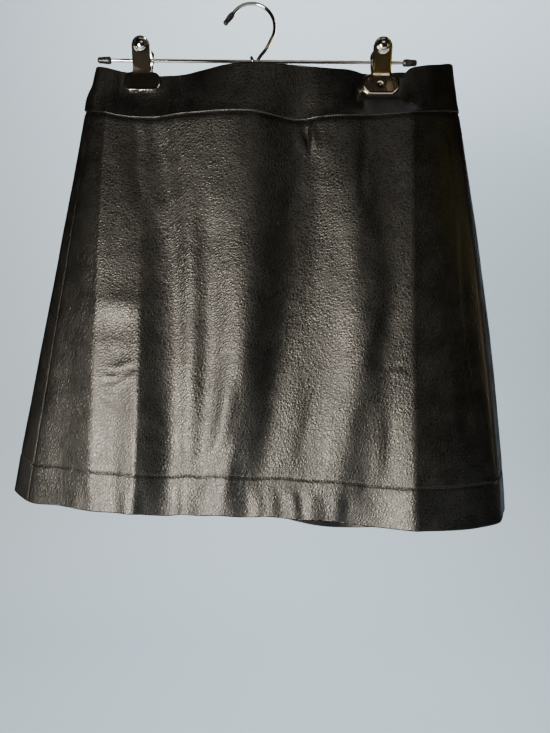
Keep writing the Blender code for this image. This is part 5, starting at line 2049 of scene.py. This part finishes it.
    def build_rivet(self, sign: int, face: str, metal: Material) -> None:
        """Builds a domed rivet head with a collar on a handle."""
        height = self.top - self.rivet_drop
        (low, near), (high, far) = self.bends[2:]
        lean = (far - near) / (high - low)
        outwards = Vector((0.0, sign, -lean)).normalized()
        dome = self.rivet_radius
        turn = np.radians(np.linspace(0, 84, 12))
        base, swell = self.rivet_dome
        profile = [(dome * math.sin(a), base + swell * math.cos(a)) for a in turn]
        profile += [(dome + beside, above) for beside, above in self.rivet_collar]
        profile.append((0.0, profile[-1][1]))
        depth = sign * float(self.depth(np.array(height)))
        place = facing_matrix(outwards, Vector((self.x, depth, BAR_CENTRE.z + height)))
        mesh = turned_mesh(f"rivet_{self.side}_{face}", profile, place, 36)
        dress(mesh.name, mesh, "chrome", (f"clip_{self.side}_rivet_{face}",), metal)

    def build_spring(self, pattern: Pattern, metal: Material) -> None:
        """Builds the coil spring round the bar, with a leg behind each handle."""
        lines = []
        for sign in (-1, 1):
            points = smooth_path([(sign * x, sign * y, z) for x, y, z in self.leg], 0.8)
            lines.append(line_along(points, np.tile((1.0, 0.0, 0.0), (len(points), 1))))
        centre = (self.x * MM, 0.0, BAR_CENTRE.z * MM)
        guide = guide_mesh("legs_guide", lines)
        mesh = pattern.make(f"coil_{self.side}", guide, Centre=centre, Material=metal)
        dress(mesh.name, mesh, "chrome", (f"clip_{self.side}_spring",))

    def build(self, finishes: Finishes, pattern: Pattern) -> None:
        """Builds the clip's plates, rivets and spring."""
        # The right clip takes the warm-tinted chrome copy: a painted warm reflection on its plates.
        metal = finishes.warm_reflection_chrome if self.side == "right" else finishes.chrome
        for face, sign, ear_x in (("front", -1, self.ears[0]), ("back", 1, self.ears[1])):
            parts = [self.plate_mesh(sign), self.ear_mesh(sign, -ear_x), self.ear_mesh(sign, ear_x)]
            name = f"plate_{self.side}_{face}"
            dress(name, joined_mesh(name, parts), "chrome", (f"clip_{self.side}_{face}",), metal)
            self.build_rivet(sign, face, finishes.chrome)
        self.build_spring(pattern, finishes.chrome)


CLIPS = (
    Clip(
        "left", CLIP_X["left"], 6.8, notch=-2.9, dimple=0.0, rivet_radius=4.8, handle_half=8.7, lip=0.8
    ),
    Clip(
        "right", CLIP_X["right"], 9.3, notch=None, dimple=0.7, rivet_radius=5.0, handle_half=9.1,
        top=18.6, jaw_half_width=18.1, jaw_half_height=9.4, lip=0.25, rim=2.2,
    ),
)


# --- camera, lights and floor ---


@dataclass(frozen=True)
class Lamp:
    """A soft rectangular lamp that faces the skirt.

    Azimuth is in degrees to the viewer's right of straight in front and elevation in degrees above
    the skirt's middle; distance and size are in metres and power is in watts.
    """

    name: str
    azimuth: float
    elevation: float
    distance: float
    size: Pair
    power: float
    colour: tuple[float, float, float]
    glossy: bool = True


LAMPS = (
    Lamp("low_window", -29, -18, 1.6, (0.5, 0.75), 43.0, (1.0, 0.90, 0.75)),
    Lamp("upper_fill", -20, 40, 2.2, (1.2, 1.2), 4.0, (1.0, 1.0, 1.0), glossy=False),
    Lamp("side_lamp", 90, 2, 1.2, (0.12, 0.5), 0.7, (1.0, 0.80, 0.56)),
    Lamp("brass_glow", 66.7, 21.6, 0.68, (0.2, 0.1), 0.05, (1.0, 0.82, 0.12)),
    Lamp("room_glow", 8, 20, 2.0, (0.9, 0.5), 1.4, (1.0, 0.92, 0.8)),
    Lamp("back_fill", 160, 35, 1.3, (0.8, 0.4), 14.0, (0.95, 0.98, 1.0)),
)


@dataclass(frozen=True)
class Studio:
    """The camera, a pale floor that sweeps up behind the skirt, and soft lights."""

    camera_place: tuple[float, float, float] = (23.9, -537.4, -319.3)
    tilt_deg: float = 2.55
    roll_deg: float = 0.502
    frame_pixels: tuple[int, int] = (550, 733)
    sensor: float = 36.0
    target: tuple[float, float, float] = (20.0, 0.0, -300.0)
    backdrop: Colour = (0.62, 0.67, 0.71, 1.0)
    room: Colour = (0.008, 0.007, 0.006, 1.0)
    ceiling: Colour = (0.55, 0.55, 0.56, 1.0)
    ceiling_from: Pair = (0.90, 0.97)
    far_side: Colour = (0.035, 0.028, 0.018, 1.0)
    far_side_from: Pair = (0.86, 0.96)

    def build_camera(self) -> None:
        """Sets the camera close in front of the skirt, looking very slightly down and turned."""
        data = bpy.data.cameras.new("view")
        camera = link_object("view", data)
        data.sensor_fit = "VERTICAL"
        data.sensor_height = self.sensor
        data.lens = self.sensor * self.frame_pixels[0] / self.frame_pixels[1]
        data.clip_start = 0.01
        turn = Matrix.Rotation(math.radians(90 - self.tilt_deg), 3, "X")
        roll = Matrix.Rotation(math.radians(self.roll_deg), 3, "Z")
        camera.rotation_euler = (turn @ roll).to_euler()
        camera.location = Vector(self.camera_place) * MM
        bpy.context.scene.camera = camera

    def add_lamp(
        self,
        name: str,
        size: Pair,
        power: float,
        colour: tuple[float, float, float] = (1.0, 1.0, 1.0),
        glossy: bool = False,
    ) -> bpy.types.Object:
        """Adds a rectangular lamp that the camera doesn't see.

        Args:
            name: The lamp's name.
            size: Width and height in metres.
            power: Watts.
            colour: The light's colour.
            glossy: Whether polished pieces mirror the lamp.

        Returns:
            The lamp, at the origin.
        """
        data = bpy.data.lights.new(name, "AREA")
        data.shape = "RECTANGLE"
        data.size, data.size_y = size
        data.energy = power
        data.color = colour
        lamp = link_object(name, data)
        lamp.visible_camera = False
        lamp.visible_glossy = glossy
        return lamp

    def build_lamps(self) -> None:
        """Adds the lamps that face the skirt, and one above and behind it that faces the wall."""
        for lamp in LAMPS:
            obj = self.add_lamp(lamp.name, lamp.size, lamp.power, lamp.colour, lamp.glossy)
            a, e = math.radians(lamp.azimuth), math.radians(lamp.elevation)
            away = Vector((math.sin(a) * math.cos(e), -math.cos(a) * math.cos(e), math.sin(e)))
            obj.location = Vector(self.target) * MM + away * lamp.distance
            obj.rotation_euler = away.to_track_quat("Z", "Y").to_euler()
        obj = self.add_lamp("wall_light", (2.4, 0.5), 42.0)
        obj.location = (0.35, 0.35, 1.2)
        obj.rotation_euler = (math.radians(46), 0.0, 0.0)

    def build_floor(self) -> None:
        """Builds the floor, which sweeps up into a wall behind the skirt."""
        low, back, radius, half = -1.15, 1.45, 0.5, 1.5
        line = [(-1.2, low), (back - radius, low)]
        line += arc_points((back - radius, low + radius), radius, -82.5, 0, 12)
        line.append((back, 2.6))
        points = [(x, y, z) for y, z in line for x in (-half, half)]
        faces = [(2 * i, 2 * i + 1, 2 * i + 3, 2 * i + 2) for i in range(len(line) - 1)]
        mesh = bpy.data.meshes.new("floor")
        mesh.from_pydata(points, [], faces)
        mesh.shade_smooth()
        paint = Paint("pale_paper")
        cloud = paint.noise(paint.place(), 1.5, 3.0).outputs["Fac"]
        colour = paint.mix(cloud, (0.58, 0.71, 0.81, 1.0), (0.64, 0.76, 0.85, 1.0))
        paper = paint.finish({"Base Color": colour, "Roughness": 0.8})
        place_in_scene("floor", mesh, paper)

    def build_world(self) -> None:
        """Sets a pale surround for the camera, and a dark room to reflect.

        The room has a pale ceiling and a faint warm glow on the side that the front faces.
        """
        world = bpy.data.worlds.new("room")
        world.use_nodes = True
        bpy.context.scene.world = world
        graph = Graph(world.node_tree)
        way = graph.add("ShaderNodeTexCoord").outputs["Generated"]
        split = graph.add("ShaderNodeSeparateXYZ", {0: way}).outputs
        opposite = graph.ramp(graph.times(split[1], -1.0), *self.far_side_from)
        room = graph.mix(opposite, self.room, self.far_side)
        room = graph.mix(graph.ramp(split[2], *self.ceiling_from), room, self.ceiling)
        seen = graph.add("ShaderNodeLightPath").outputs["Is Camera Ray"]
        colour = graph.mix(seen, room, self.backdrop)
        graph.feed(world.node_tree.nodes["Background"].inputs["Color"], colour)

    def build(self) -> None:
        """Builds the camera, the floor, the surround and the lamps."""
        self.build_camera()
        self.build_floor()
        self.build_world()
        self.build_lamps()


def main() -> None:
    """Builds the skirt, its hanger and the studio."""
    logging.basicConfig(level=logging.INFO, format="%(message)s")
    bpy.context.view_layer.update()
    finishes = build_finishes()
    form = SkirtForm()
    zipper = Zip()
    patches = {}
    for piece in CLOTH:
        obj, patches[piece.name] = piece.build(form, finishes, zipper)
    stitches = build_stitch_pattern()
    zipper.build(form, finishes, stitches)
    Sewing().build(form, patches, zipper, finishes, stitches)
    Hanger().build(finishes)
    springs = build_spring_pattern()
    for clip in CLIPS:
        clip.build(finishes, springs)
    Studio().build()


if __name__ == "__main__":
    main()
